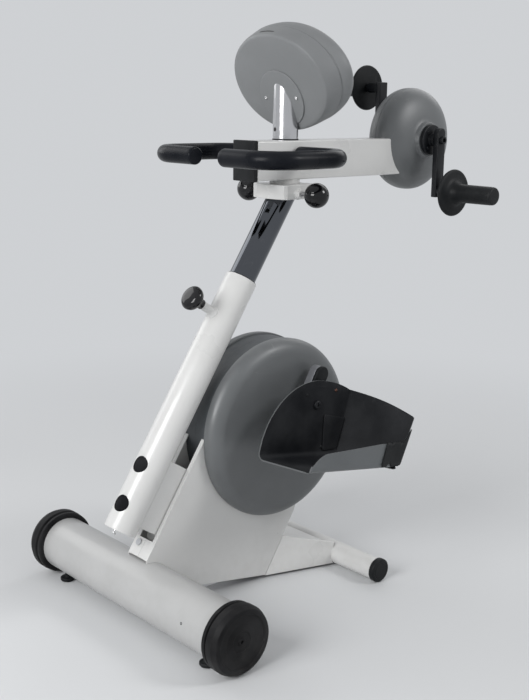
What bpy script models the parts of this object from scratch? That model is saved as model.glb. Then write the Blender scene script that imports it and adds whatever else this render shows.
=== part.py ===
"""Active passive trainer: motor-driven leg cranks with foot shells below, and a
swivelling beam above that carries an arm crank unit, two hand loops and a display.

Metres, +Z up, the seated user's side at +Y, the user's left hand at +X. The
origin is on the floor, in the middle of the footprint. Design positions count y
from the wheel axle and z from the floor; the root empty shifts them into place.
"""
import math

import bmesh
import bpy
from mathutils import Matrix, Vector

NAME = "active_passive_trainer"
GAP = 0.0003            # clearance kept between pieces that touch
ROUND = 28              # sides of a large turned piece
MEDIUM = 24             # sides of a tube, also of what is seated in it or on it
SMALL = 16              # sides of a small turned piece

# Base: the cross tube, its wheels and feet, the spine and the rear tube
TUBE_RADIUS = 0.055
TUBE_WALL = 0.003
TUBE_Z = 0.0685
TUBE_HALF = 0.2735
WHEEL_RADIUS = 0.0665
WHEEL_WIDTH = 0.0412
WHEEL_PLAY = 0.0003
WHEEL_BORE_DEPTH = 0.026
AXLE_RADIUS = 0.006
AXLE_DISC = 0.010
FOOT_RADIUS = 0.015
FOOT_INSET = 0.036       # from the cross tube's end to the foot's axis
FOOT_Y = -0.020
SPINE_WIDTH = 0.040
SPINE_HEIGHT = 0.022
SPINE_Z = 0.035
SPINE_WALL = 0.003
REAR_Y = 0.484
REAR_RADIUS = 0.024
REAR_WALL = 0.0025
REAR_HALF = 0.2065
CAP_RADIUS = 0.026
CAP_LENGTH = 0.012
CAP_PLUG = 0.020

# Column, seen from the side: it leans toward the user
LEAN = math.radians(33.5)
COLUMN_FOOT_Y = -0.046
COLUMN_FOOT_Z = 0.193
COLUMN_LENGTH = 0.5545
COLUMN_RADIUS = 0.033
COLUMN_WALL = 0.003
PLUG_RADIUS = 0.0165
PLUG_TURN = math.radians(10.0)  # the plugs face a little to the user's left
PLUG_DEPTH = 0.008
PLUG_LIP = 0.003
PLUG_CROWN = 0.0015
PLUG_LOW = 0.050
PLUG_HIGH = 0.132
HOOK_RADIUS = 0.004
HOOK_LENGTH = 0.010
HOOK_X = 0.016
HOOK_FORWARD = 0.023

# Mast: the chrome tube that slides in the column
MAST_RADIUS = 0.0276
MAST_WALL = 0.0025
MAST_INSERT = 0.2645
BUSH_LENGTH = 0.045
BUSH_FLANGE = 0.003
KNOB_BELOW_TOP = 0.0905
KNOB_RADIUS = 0.025
KNOB_LENGTH = 0.040
KNOB_STEM = 0.005
BOSS_RADIUS = 0.009
BOSS_LENGTH = 0.030

# Housing of the leg drive: two folded side covers round the drive
FRONT_T = 0.070          # housing front, measured square to the column axis
HOUSE_HALF = 0.031
SHEET = 0.0022
FOLD = 0.0002            # how far the folded flange sits back from the sheet's edge
FLANGE = 0.010
FLANGE_FOOT_TOP = 0.007  # along the column, top of the wide foot flange
FRONT_LOW_S = -0.032      # along the column, low end of the housing front
HOUSE_LOW_EDGE = ((0.147, 0.036), (0.030, 0.052))  # (y, z) along its low edge
HOUSE_REAR_TOP_Y = 0.391
HOUSE_REAR_TOP_Z = 0.138
HOUSE_REAR_LOW_Y = 0.308
HOUSE_REAR_LOW_Z = 0.008
HOUSE_APEX_Z = 0.355
PANEL_RADIUS = 0.160
INLET_RADIUS = 0.005
INLET_S = -0.004
INLET_X = -0.0145
BRACKET_HALF = 0.0195
BRACKET_LOW = 0.022
BRACKET_HIGH = 0.164
BRACKET_REAR_Y = 0.120
BRACKET_WALL = 0.004

# Cover between the housing and the rear tube
LEG_REAR_HALF = 0.080
LEG_TOP_FRONT_Z = 0.085
LEG_TOP_REAR_Z = 0.057
LEG_LOW_Z = 0.006
LEG_DECK_DROP = 0.008
LEG_WALL = 0.0025
LEG_END = 0.016          # how far before the rear tube's axis it stops

# Leg drive
CRANK_Y = 0.326
CRANK_Z = 0.340
DISC_RADIUS = 0.190
DISC_FACE = 0.065
DISC_FACE_RADIUS = 0.160
DISC_SHOULDER_X = 0.040
DISC_STEP = 0.004
DISC_WALL = 0.0025
DISC_HOLE = 0.022
SHAFT_RADIUS = 0.010
CRANK_IN = 0.084
CRANK_THICK = 0.020
CRANK_WIDTH = 0.029
CRANK_PIN_RADIUS = 0.070
CRANK_END_RADIUS = 0.135
CRANK_ANGLE = math.radians(30.0)
BEARING_RADIUS = 0.0235
BEARING_HOUSE_RADIUS = 0.028
FRAME_FOOT_FRONT = 0.086
FRAME_FOOT_REAR = 0.010
FRAME_THICK = 0.008
PULLEY_X = 0.0430
PULLEY_WIDTH = 0.014
PULLEY_RADIUS = 0.100
PULLEY_WEB = 0.005
SMALL_PULLEY_RADIUS = 0.020
BELT_THICK = 0.002
BELT_WIDTH = 0.012
MOTOR_DY = -0.088
MOTOR_DZ = -0.108
MOTOR_RADIUS = 0.029
MOTOR_SHAFT = 0.004

# Foot shells, in the shell's own frame: e runs toe to heel, h is square to the
# sole, both from the pedal pin
FOOT_PITCH = math.radians(9.5)
SHELL_IN = 0.1200
SHELL_OUT = 0.2450
SHELL_WALL = 0.0030
SOLE_H = -0.110
SOLE_CORNER = 0.014
TOE_IN_E = -0.142
TOE_OUT_E = -0.120
HEEL_IN_E = 0.092
HEEL_OUT_E = 0.177
HEEL_CORNER = 0.006
HEEL_RAKE = 0.30          # how far the heel wall runs back for each metre it rises
HEEL_STEPS = 2
SHELL_STEPS = 8
FAN_TOP_H = 0.050
FAN_REAR_REACH = 0.183
HEEL_RIM_H = -0.006
HEEL_DROP = 0.020          # length over which the rim falls from the heel to the side
SIDE_REAR_H = -0.056
SIDE_FRONT_H = -0.074
TOE_RIM_H = -0.104
PEDAL_PIN_RADIUS = 0.006
PEDAL_HEAD_RADIUS = 0.009
PEDAL_HEAD = 0.004
PEDAL_COLLAR_RADIUS = 0.011
STRAP_START_E = 0.090
STRAP_TOP_H = -0.060
STRAP_LOW_H = -0.104
STRAP_THICK = 0.0030
STRAP_GAP = 0.0007

# Head and beam
SWIVEL_Y = 0.375
HEAD_LOW_Z = 0.8137
HEAD_HEIGHT = 0.0293
HEAD_HALF_X = 0.050
HEAD_HALF_Y = 0.043
HEAD_BULGE = 0.008
SPINDLE_RADIUS = 0.020
SPINDLE_FLANGE = 0.031
SPINDLE_FLOOR = 0.003
SPINDLE_TOP_Z = 0.885
BEAM_LOW_Z = 0.8520
BEAM_WIDTH = 0.064
BEAM_HEIGHT = 0.078
BEAM_WALL = 0.003
BEAM_FRONT_Y = 0.273
END_PLATE_THICK = 0.010
END_PLATE_LIP = 0.001
LOCK_Z = 0.8252
LOCK_BALL_X = 0.102
LOCK_BALL_RADIUS = 0.025
LOCK_PIN_RADIUS = 0.005
LOCK_BOSS_RADIUS = 0.009
LOCK_BOSS_LENGTH = 0.010
LOCK_OFFSET = 0.008

# Hand loops
BAR_Z = 0.9010
BAR_Y = 0.380
BAR_RADIUS = 0.011
FOAM_RADIUS = 0.0175
LOOP_FRONT_Y = 0.177
LOOP_HALF_X = 0.174
LOOP_END_X = 0.030
LOOP_CORNER = 0.060
FOAM_TIP = 0.010
FOAM_FROM_BEAM = 0.005

# Arm unit
ARM_Y = 0.757
ARM_RISE = 0.036         # of the arm shaft above the beam's middle line
ARM_Z = BEAM_LOW_Z + BEAM_HEIGHT / 2 + ARM_RISE
DOME_RADIUS = 0.112
DOME_HALF = 0.052
DOME_POWER = 2.3
DOME_WALL = 0.0025
HUB_BOSS_RADIUS = 0.040
HUB_BOSS_X = 0.0600
ARM_SHAFT_RADIUS = 0.008
ARM_HUB_RADIUS = 0.033
ARM_HUB_WIDTH = 0.0095
STATOR_RADIUS = 0.060
STATOR_HALF = 0.020
ROTOR_RADIUS = 0.035
ROTOR_HALF = 0.018
AIR_GAP = 0.001
ARM_NECK_RADIUS = 0.014
ARM_BOLT_RADIUS = 0.009
ARM_BOLT_HEAD = 0.0075
ARM_IN = 0.081
ARM_THICK = 0.014
ARM_WIDTH = 0.025
ARM_CRANK_RADIUS = 0.112
ARM_TAIL = 0.014
GUARD_RADIUS = 0.051
GUARD_X = 0.130
GUARD_THICK = 0.008
GRIP_RADIUS = 0.020
GRIP_END_X = 0.245
GRIP_PIN_RADIUS = 0.005
GRIP_PIN_END_X = 0.225
GRIP_COLLAR_RADIUS = 0.011

# Display, in its own frame: u runs across, v down its face, d into the shell
SCREEN_TILT = math.radians(24.8)
DISPLAY_Y = 0.3526
DISPLAY_Z = 1.041
SEAM_D = 0.036
FRONT_D = 0.072
DISPLAY_WALL = 0.0025
BACK_HALF_U = 0.121
BACK_HALF_V = 0.0986
SEAM_HALF_U = 0.1405
SEAM_HALF_V = 0.105
WIDE_HALF_U = 0.147
WIDE_HALF_V = 0.103
WIDE_D = 0.058
FACE_HALF_U = 0.128
FACE_HALF_V = 0.088
SCREEN_HALF_U = 0.060
SCREEN_HALF_V = 0.044
SCREEN_V = -0.016
SCREEN_THICK = 0.003
SCREEN_SUNK = 0.001
STEM_RADIUS = 0.026
STEM_WALL = 0.003
STEM_PIN_RADIUS = 0.012
STEM_PIN_DEPTH = 0.012
KEY_RADIUS = 0.0085
KEY_FLANGE_RADIUS = 0.0105
KEY_PROUD = 0.0035
KEY_FLANGE = 0.002
KEY_TRAVEL = 0.0015
KEY_V = 0.052
KEY_PITCH = 0.034
KEYS = ("key_minus", "key_start", "key_plus")
KEY_SLOTS = ("key_grey", "key_green", "key_grey")

LENGTH_FRONT = (COLUMN_FOOT_Y - HOOK_LENGTH * math.sin(LEAN)
                - (HOOK_FORWARD + HOOK_RADIUS) * math.cos(LEAN))
LENGTH_REAR = ARM_Y + DOME_RADIUS
SHIFT_Y = -(LENGTH_FRONT + LENGTH_REAR) / 2
ACROSS = (0.0, math.pi / 2, 0.0)
ACROSS_RIGHT = (0.0, -math.pi / 2, 0.0)

COLOURS = {
    "white_paint": ((0.80, 0.80, 0.79), 0.35, 0.0),
    "grey_cover": ((0.40, 0.41, 0.42), 0.45, 0.0),
    "shell_grey": ((0.36, 0.38, 0.40), 0.45, 0.0),
    "black_plastic": ((0.02, 0.02, 0.022), 0.45, 0.0),
    "black_paint": ((0.018, 0.018, 0.02), 0.35, 0.0),
    "gloss_black": ((0.01, 0.01, 0.012), 0.15, 0.0),
    "tyre_black": ((0.02, 0.02, 0.02), 0.8, 0.0),
    "foam_black": ((0.025, 0.027, 0.03), 0.7, 0.0),
    "chrome": ((0.85, 0.86, 0.87), 0.06, 1.0),
    "satin_metal": ((0.65, 0.66, 0.67), 0.35, 1.0),
    "steel": ((0.50, 0.50, 0.51), 0.4, 1.0),
    "cast_metal": ((0.30, 0.31, 0.32), 0.5, 1.0),
    "belt_rubber": ((0.03, 0.03, 0.03), 0.75, 0.0),
    "screen_glass": ((0.25, 0.32, 0.30), 0.1, 0.0),
    "key_green": ((0.05, 0.35, 0.12), 0.4, 0.0),
    "key_grey": ((0.55, 0.56, 0.58), 0.4, 0.0),
}


def clear_scene():
    """Removes every object, so that the script can be run again."""
    for old in list(bpy.data.objects):
        bpy.data.objects.remove(old, do_unlink=True)


def make_collection(name):
    """A new collection under the scene's own."""
    made = bpy.data.collections.new(name)
    bpy.context.scene.collection.children.link(made)
    return made


clear_scene()
PARTS = make_collection(NAME)
CUTTERS = make_collection("cutters")
BODIES = {}


def finish_of(slot):
    """The material of a slot, made once."""
    found = bpy.data.materials.get(slot)
    if found:
        return found
    colour, roughness, metallic = COLOURS[slot]
    made = bpy.data.materials.new(slot)
    made.use_nodes = True
    shader = made.node_tree.nodes["Principled BSDF"]
    shader.inputs["Base Color"].default_value = (*colour, 1.0)
    shader.inputs["Roughness"].default_value = roughness
    shader.inputs["Metallic"].default_value = metallic
    return made


def add_body(name, at, parent=None):
    """An empty on a joint's axis, which carries the pieces of one body."""
    empty = bpy.data.objects.new(name + "_axis", None)
    PARTS.objects.link(empty)
    offset = Vector(at)
    if parent:
        empty.parent = BODIES[parent][0]
        offset = offset - BODIES[parent][1]
    else:
        offset = offset + Vector((0.0, SHIFT_Y, 0.0))
    empty.location = offset
    BODIES[name] = (empty, Vector(at))


def put(obj, body, at=(0.0, 0.0, 0.0), turn=(0.0, 0.0, 0.0)):
    """Places a piece or a cutter at a design position on a body."""
    empty, origin = BODIES[body]
    obj.parent = empty
    obj.location = Vector(at) - origin
    obj.rotation_euler = turn
    return obj


def piece(obj, name, slot, body, at=(0.0, 0.0, 0.0), turn=(0.0, 0.0, 0.0)):
    """Names a piece, gives it its material and puts it on its body."""
    obj.name = name
    obj.data.name = name
    obj.data.materials.clear()
    obj.data.materials.append(finish_of(slot))
    return put(obj, body, at, turn)


def link(mesh, name="shape"):
    """A new object in the parts collection."""
    obj = bpy.data.objects.new(name, mesh)
    PARTS.objects.link(obj)
    return obj


def turned(profile, steps=ROUND, closed=False):
    """Turns a profile of (radius, height) round Z with a Screw modifier."""
    mesh = bpy.data.meshes.new("profile")
    points = [(r, 0.0, z) for r, z in profile]
    edges = [(i, i + 1) for i in range(len(points) - 1)]
    if closed:
        edges.append((len(points) - 1, 0))
    mesh.from_pydata(points, edges, [])
    obj = link(mesh)
    screw = obj.modifiers.new("turn", "SCREW")
    screw.steps = steps
    screw.render_steps = steps
    screw.use_merge_vertices = True
    screw.merge_threshold = 0.00001
    screw.use_smooth_shade = True
    return obj


def rod(radius, low, high, steps=SMALL):
    """A solid round bar between two heights on Z."""
    return turned([(0.0, high), (radius, high), (radius, low), (0.0, low)], steps)


def pipe(outer, inner, low, high, steps=ROUND):
    """A round tube between two heights on Z."""
    profile = [(outer, high), (outer, low), (inner, low), (inner, high)]
    return turned(profile, steps, closed=True)


def block(size, centre=(0.0, 0.0, 0.0)):
    """A box of a size about a centre, made from a cube."""
    mesh = bpy.data.meshes.new("block")
    shape = bmesh.new()
    place = Matrix.Translation(Vector(centre)) @ Matrix.Diagonal((*size, 1.0))
    bmesh.ops.create_cube(shape, size=1.0, matrix=place)
    shape.to_mesh(mesh)
    shape.free()
    return link(mesh)


def to_mesh(obj):
    """Turns a curve, or a piece with modifiers, into a plain welded mesh."""
    bpy.context.view_layer.update()
    seen = obj.evaluated_get(bpy.context.evaluated_depsgraph_get())
    mesh = bpy.data.meshes.new_from_object(seen)
    shape = bmesh.new()
    shape.from_mesh(mesh)
    bmesh.ops.remove_doubles(shape, verts=shape.verts, dist=0.00001)
    shape.to_mesh(mesh)
    shape.free()
    made = link(mesh)
    made.matrix_world = obj.matrix_world
    bpy.data.objects.remove(obj, do_unlink=True)
    return made


def plate(outline, thickness, holes=()):
    """A flat outline of (u, v) points as a plate about its own plane."""
    curve = bpy.data.curves.new("outline", "CURVE")
    curve.dimensions = "2D"
    curve.fill_mode = "BOTH"
    curve.extrude = thickness / 2
    for loop in (outline, *holes):
        spline = curve.splines.new("POLY")
        spline.points.add(len(loop) - 1)
        for point, (u, v) in zip(spline.points, loop):
            point.co = (u, v, 0.0, 1.0)
        spline.use_cyclic_u = True
    return to_mesh(link(curve))


def side_plate(outline, thickness, holes=()):
    """A plate whose outline is given in (y, z), with its thickness along X."""
    obj = plate(outline, thickness, holes)
    obj.data.transform(SIDEWAYS)
    return obj


def tube_along(points, radius, resolution=3):
    """A round tube along a row of points, with filled ends."""
    curve = bpy.data.curves.new("route", "CURVE")
    curve.dimensions = "3D"
    curve.bevel_depth = radius
    curve.bevel_resolution = resolution
    curve.use_fill_caps = True
    spline = curve.splines.new("POLY")
    spline.points.add(len(points) - 1)
    for point, place in zip(spline.points, points):
        point.co = (*place, 1.0)
    return to_mesh(link(curve))


def skin(rings, closed_ends=True):
    """Joins rings of equal length into one closed surface."""
    mesh = bpy.data.meshes.new("skin")
    shape = bmesh.new()
    rows = [[shape.verts.new(p) for p in ring] for ring in rings]
    count = len(rows[0])
    for low, high in zip(rows[:-1], rows[1:]):
        for i in range(count):
            j = (i + 1) % count
            shape.faces.new((low[i], low[j], high[j], high[i]))
    if closed_ends:
        shape.faces.new(list(reversed(rows[0])))
        shape.faces.new(rows[-1])
    bmesh.ops.recalc_face_normals(shape, faces=shape.faces)
    shape.to_mesh(mesh)
    shape.free()
    return link(mesh)


def as_cutter(obj):
    """Hides a shape that only cuts others."""
    for owner in obj.users_collection:
        owner.objects.unlink(obj)
    CUTTERS.objects.link(obj)
    obj.name = "cutter"
    obj.hide_render = True
    obj.display_type = "WIRE"
    return obj


def change(obj, other, operation="DIFFERENCE"):
    """Cuts a shape from a piece, or joins it on."""
    step = obj.modifiers.new(operation.lower(), "BOOLEAN")
    step.operation = operation
    step.solver = "EXACT"
    step.object = as_cutter(other)
    return obj


def arc(centre_u, centre_v, radius, start, end, steps):
    """Points on an arc, from a start angle to an end angle, in radians."""
    turns = [start + (end - start) * i / steps for i in range(steps + 1)]
    return [(centre_u + radius * math.cos(t), centre_v + radius * math.sin(t)) for t in turns]


def on_column(along, behind, x=0.0):
    """A point given along the column from its foot, and square behind its axis."""
    y = COLUMN_FOOT_Y + along * math.sin(LEAN) + behind * math.cos(LEAN)
    z = COLUMN_FOOT_Z + along * math.cos(LEAN) - behind * math.sin(LEAN)
    return (x, y, z)


def column_yz(along, behind):
    """The same point as a (y, z) pair."""
    return on_column(along, behind)[1:]


ALONG_COLUMN = (-LEAN, 0.0, 0.0)
FROM_COLUMN_FRONT = (math.pi / 2 - LEAN, 0.0, 0.0)
TO_COLUMN_REAR = (-math.pi / 2 - LEAN, 0.0, 0.0)
PLUG_FACING = (Matrix.Rotation(-LEAN, 3, "X") @ Matrix.Rotation(PLUG_TURN, 3, "Z")
               @ Matrix.Rotation(math.pi / 2, 3, "X")).to_euler()
SIDEWAYS = Matrix(((0, 0, 1, 0), (1, 0, 0, 0), (0, 1, 0, 0), (0, 0, 0, 1)))  # (y, z) outlines
CRANK_PIN_Y = CRANK_Y + CRANK_PIN_RADIUS * math.sin(CRANK_ANGLE)
CRANK_PIN_Z = CRANK_Z + CRANK_PIN_RADIUS * math.cos(CRANK_ANGLE)
FAR_PIN_Y = 2 * CRANK_Y - CRANK_PIN_Y
FAR_PIN_Z = 2 * CRANK_Z - CRANK_PIN_Z
SIDES = (("left", 1, ACROSS), ("right", -1, ACROSS_RIGHT))


def add_bodies():
    """The joint axes, as a tree of empties."""
    wheel_x = TUBE_HALF + WHEEL_WIDTH / 2
    knob_at = on_column(COLUMN_LENGTH - KNOB_BELOW_TOP, -COLUMN_RADIUS)
    add_body("base", (0.0, 0.0, 0.0))
    for side, sign, _ in SIDES:
        add_body("wheel_" + side, (sign * wheel_x, 0.0, TUBE_Z), "base")
    add_body("leg_crank", (0.0, CRANK_Y, CRANK_Z), "base")
    add_body("foot_left", (SHELL_IN, CRANK_PIN_Y, CRANK_PIN_Z), "leg_crank")
    add_body("foot_right", (-SHELL_IN, FAR_PIN_Y, FAR_PIN_Z), "leg_crank")
    add_body("motor_rotor", (PULLEY_X, CRANK_Y + MOTOR_DY, CRANK_Z + MOTOR_DZ), "base")
    add_body("clamp_knob", knob_at, "base")
    add_body("mast", on_column(COLUMN_LENGTH, 0.0), "base")
    for side, sign, _ in SIDES:
        add_body("lock_" + side, (sign * LOCK_BALL_X, SWIVEL_Y - LOCK_OFFSET, LOCK_Z), "mast")
    add_body("beam", (0.0, SWIVEL_Y, HEAD_LOW_Z + HEAD_HEIGHT), "mast")
    add_body("arm_crank", (0.0, ARM_Y, ARM_Z), "beam")
    add_body("grip_left", (GUARD_X, ARM_Y, ARM_Z - ARM_CRANK_RADIUS), "arm_crank")
    add_body("grip_right", (-GUARD_X, ARM_Y, ARM_Z + ARM_CRANK_RADIUS), "arm_crank")
    add_body("display", (0.0, SWIVEL_Y, BEAM_LOW_Z + BEAM_HEIGHT), "beam")
    for index, name in enumerate(KEYS):
        add_body(name, on_display(key_u(index), KEY_V, FRONT_D), "display")


def on_display(u, v, d):
    """A point of the display's own frame as a design position."""
    y = DISPLAY_Y + v * math.sin(SCREEN_TILT) + d * math.cos(SCREEN_TILT)
    z = DISPLAY_Z - v * math.cos(SCREEN_TILT) + d * math.sin(SCREEN_TILT)
    return (u, y, z)


def key_u(index):
    """Where a key sits across the display."""
    return (index - (len(KEYS) - 1) / 2) * KEY_PITCH


DISPLAY_TURN = (SCREEN_TILT - math.pi / 2, 0.0, 0.0)


def base_tube_cutter(clearance=GAP):
    """The cross tube's outside, for what is seated on it."""
    reach = TUBE_HALF + WHEEL_WIDTH
    shape = rod(TUBE_RADIUS + clearance, -reach, reach, MEDIUM)
    return put(shape, "base", (0.0, 0.0, TUBE_Z), ACROSS)


def make_base():
    """Cross tube, and the axle with its two end discs."""
    inner = TUBE_RADIUS - TUBE_WALL
    tube = pipe(TUBE_RADIUS, inner, -TUBE_HALF, TUBE_HALF, MEDIUM)
    piece(tube, "base_cross_tube", "white_paint", "base", (0.0, 0.0, TUBE_Z), ACROSS)

    tip = TUBE_HALF + WHEEL_BORE_DEPTH - GAP
    disc_out = TUBE_HALF - GAP
    disc_in = disc_out - AXLE_DISC
    disc = inner - GAP
    half = [(AXLE_RADIUS, tip), (AXLE_RADIUS, disc_out), (disc, disc_out), (disc, disc_in),
            (AXLE_RADIUS, disc_in)]
    mirrored = [(r, -z) for r, z in reversed(half)]
    axle = turned([(0.0, tip), *half, *mirrored, (0.0, -tip)], MEDIUM)
    piece(axle, "wheel_axle", "steel", "base", (0.0, 0.0, TUBE_Z), ACROSS)


def make_feet():
    """Two round pads under the cross tube, cut to its curve."""
    for side, sign, _ in SIDES:
        foot = rod(FOOT_RADIUS, 0.0, TUBE_Z - TUBE_RADIUS + FOOT_RADIUS)
        change(foot, base_tube_cutter())
        piece(foot, "front_foot_" + side, "black_plastic", "base", (sign * (TUBE_HALF - FOOT_INSET), FOOT_Y, 0.0))


def make_wheels():
    """Transport wheels: recessed, chamfered face and a blind bore for the axle."""
    half = WHEEL_WIDTH / 2
    bore = AXLE_RADIUS + GAP
    floor = WHEEL_BORE_DEPTH - half
    profile = [(0.0, half - 0.002), (0.050, half - 0.002), (0.052, half), (0.060, half),
               (WHEEL_RADIUS, half - 0.0065), (WHEEL_RADIUS, -half + 0.003),
               (WHEEL_RADIUS - 0.004, -half), (bore, -half), (bore, floor), (0.0, floor)]
    for side, sign, turn in SIDES:
        wheel = turned(profile, ROUND)
        at = (sign * (TUBE_HALF + WHEEL_PLAY + half), 0.0, TUBE_Z)
        piece(wheel, "wheel_" + side, "tyre_black", "wheel_" + side, at, turn)


def make_rear_tube():
    """The user's side cross tube and its two plugged end caps."""
    inner = REAR_RADIUS - REAR_WALL
    reach = REAR_HALF - CAP_LENGTH - GAP
    at = (0.0, REAR_Y, CAP_RADIUS)
    tube = pipe(REAR_RADIUS, inner, -reach, reach, MEDIUM)
    piece(tube, "rear_cross_tube", "white_paint", "base", at, ACROSS)

    plug = inner - GAP
    for side, sign, turn in SIDES:
        cap = turned([(0.0, REAR_HALF), (CAP_RADIUS - 0.003, REAR_HALF),
                      (CAP_RADIUS, REAR_HALF - 0.003), (CAP_RADIUS, reach + GAP),
                      (plug, reach + GAP), (plug, reach - CAP_PLUG), (0.0, reach - CAP_PLUG)], MEDIUM)
        piece(cap, "rear_end_cap_" + side, "black_plastic", "base", at, turn)


def make_spine():
    """Box spine between the tubes, with the upright plate and bearing house welded on
    it, and the crank's bearing cartridge."""
    centre = (0.0, REAR_Y / 2, SPINE_Z)
    spine = block((SPINE_WIDTH, REAR_Y, SPINE_HEIGHT), centre)
    bore = (SPINE_WIDTH - 2 * SPINE_WALL, REAR_Y * 1.1, SPINE_HEIGHT - 2 * SPINE_WALL)
    change(spine, put(block(bore, centre), "base"))
    change(spine, base_tube_cutter())
    clear = rod(REAR_RADIUS + GAP, -REAR_HALF, REAR_HALF, MEDIUM)
    change(spine, put(clear, "base", (0.0, REAR_Y, CAP_RADIUS), ACROSS))

    floor = SPINE_Z + SPINE_HEIGHT / 2 - SPINE_WALL / 2
    half = BEARING_HOUSE_RADIUS * 0.8
    outline = [(CRANK_Y - FRAME_FOOT_FRONT, floor), (CRANK_Y + FRAME_FOOT_REAR, floor),
               (CRANK_Y + half, CRANK_Z), (CRANK_Y - half, CRANK_Z)]
    axle = (0.0, CRANK_Y, CRANK_Z)
    change(spine, put(side_plate(outline, FRAME_THICK), "base"), "UNION")
    house = rod(BEARING_HOUSE_RADIUS, -HOUSE_HALF, HOUSE_HALF, MEDIUM)
    change(spine, put(house, "base", axle, ACROSS), "UNION")
    seat = rod(BEARING_RADIUS + GAP, -HOUSE_HALF - 0.01, HOUSE_HALF + 0.01, MEDIUM)
    change(spine, put(seat, "base", axle, ACROSS))
    piece(spine, "base_spine", "steel", "base")

    bearing = pipe(BEARING_RADIUS, SHAFT_RADIUS + GAP, -HOUSE_HALF, HOUSE_HALF, MEDIUM)
    piece(bearing, "crank_bearing", "steel", "base", axle, ACROSS)


def make_column():
    """Leaning column with its clamp boss, access plugs, guide bush and clamp knob."""
    inner = COLUMN_RADIUS - COLUMN_WALL
    foot = on_column(0.0, 0.0)
    out = COLUMN_RADIUS + 0.010
    knob_at = on_column(COLUMN_LENGTH - KNOB_BELOW_TOP, 0.0)
    column = pipe(COLUMN_RADIUS, inner, 0.0, COLUMN_LENGTH, MEDIUM)
    access = PLUG_RADIUS - PLUG_LIP
    for along in (PLUG_LOW, PLUG_HIGH):
        hole = rod(access + GAP, 0.0, out)
        change(column, put(hole, "base", on_column(along, 0.0), PLUG_FACING))
    boss = rod(BOSS_RADIUS, inner + COLUMN_WALL / 2, COLUMN_RADIUS + BOSS_LENGTH)
    change(column, put(boss, "base", knob_at, FROM_COLUMN_FRONT), "UNION")
    knob_hole = rod(KNOB_STEM + GAP, 0.001, COLUMN_RADIUS + 2 * BOSS_LENGTH, SMALL + 4)
    change(column, put(knob_hole, "base", knob_at, FROM_COLUMN_FRONT))
    hook = rod(HOOK_RADIUS, -HOOK_LENGTH, HOOK_LENGTH, 10)
    hook_at = on_column(0.0, -HOOK_FORWARD, HOOK_X)
    change(column, put(hook, "base", hook_at, ALONG_COLUMN), "UNION")
    piece(column, "column_tube", "white_paint", "base", foot, ALONG_COLUMN)

    for name, along in (("low", PLUG_LOW), ("high", PLUG_HIGH)):
        at = on_column(along, 0.0)
        reach = 2 * PLUG_RADIUS
        cap = pipe(COLUMN_RADIUS + PLUG_CROWN, COLUMN_RADIUS + GAP, along - reach, along + reach, MEDIUM)
        change(cap, put(rod(PLUG_RADIUS, 0.0, out), "base", at, PLUG_FACING), "INTERSECT")
        stalk = rod(access, inner - PLUG_DEPTH, COLUMN_RADIUS + PLUG_CROWN / 2)
        change(cap, put(stalk, "base", at, PLUG_FACING), "UNION")
        piece(cap, "column_plug_" + name, "black_plastic", "base", foot, ALONG_COLUMN)

    bush_in = MAST_RADIUS + GAP
    bush_out = inner - GAP
    low = COLUMN_LENGTH - BUSH_LENGTH
    flange = COLUMN_LENGTH + BUSH_FLANGE
    bush = turned([(bush_in, flange), (COLUMN_RADIUS - 0.001, flange),
                   (COLUMN_RADIUS - 0.001, COLUMN_LENGTH + GAP),
                   (bush_out, COLUMN_LENGTH + GAP), (bush_out, low), (bush_in, low)],
                  MEDIUM, closed=True)
    piece(bush, "guide_bush", "black_plastic", "base", foot, ALONG_COLUMN)

    base = COLUMN_RADIUS + BOSS_LENGTH + GAP
    top = base + KNOB_LENGTH
    tip = MAST_RADIUS + GAP
    profile = [(0.0, top), (0.60 * KNOB_RADIUS, top - 0.0006), (0.88 * KNOB_RADIUS, top - 0.004),
               (KNOB_RADIUS, top - 0.011), (0.96 * KNOB_RADIUS, top - 0.018),
               (0.50 * KNOB_RADIUS, top - 0.024), (0.40 * KNOB_RADIUS, base),
               (KNOB_STEM, base), (KNOB_STEM, tip), (0.0, tip)]
    piece(turned(profile, MEDIUM), "clamp_knob", "gloss_black", "clamp_knob", knob_at, FROM_COLUMN_FRONT)


def apex_along():
    """Where the housing's front reaches its top, along the column."""
    return (HOUSE_APEX_Z - COLUMN_FOOT_Z + FRONT_T * math.sin(LEAN)) / math.cos(LEAN)


def house_outline():
    """Outline of a side cover in (y, z): slanted front, low edge, sloped rear and a
    round upper part that backs the drive covers."""
    crown = arc(CRANK_Y, CRANK_Z, PANEL_RADIUS, math.radians(172.0), math.radians(-58.0), 18)
    return [column_yz(FRONT_LOW_S, FRONT_T), column_yz(apex_along(), FRONT_T), *crown,
            (HOUSE_REAR_TOP_Y, HOUSE_REAR_TOP_Z), (HOUSE_REAR_LOW_Y, HOUSE_REAR_LOW_Z),
            *HOUSE_LOW_EDGE, (0.0, TUBE_Z)]


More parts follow.
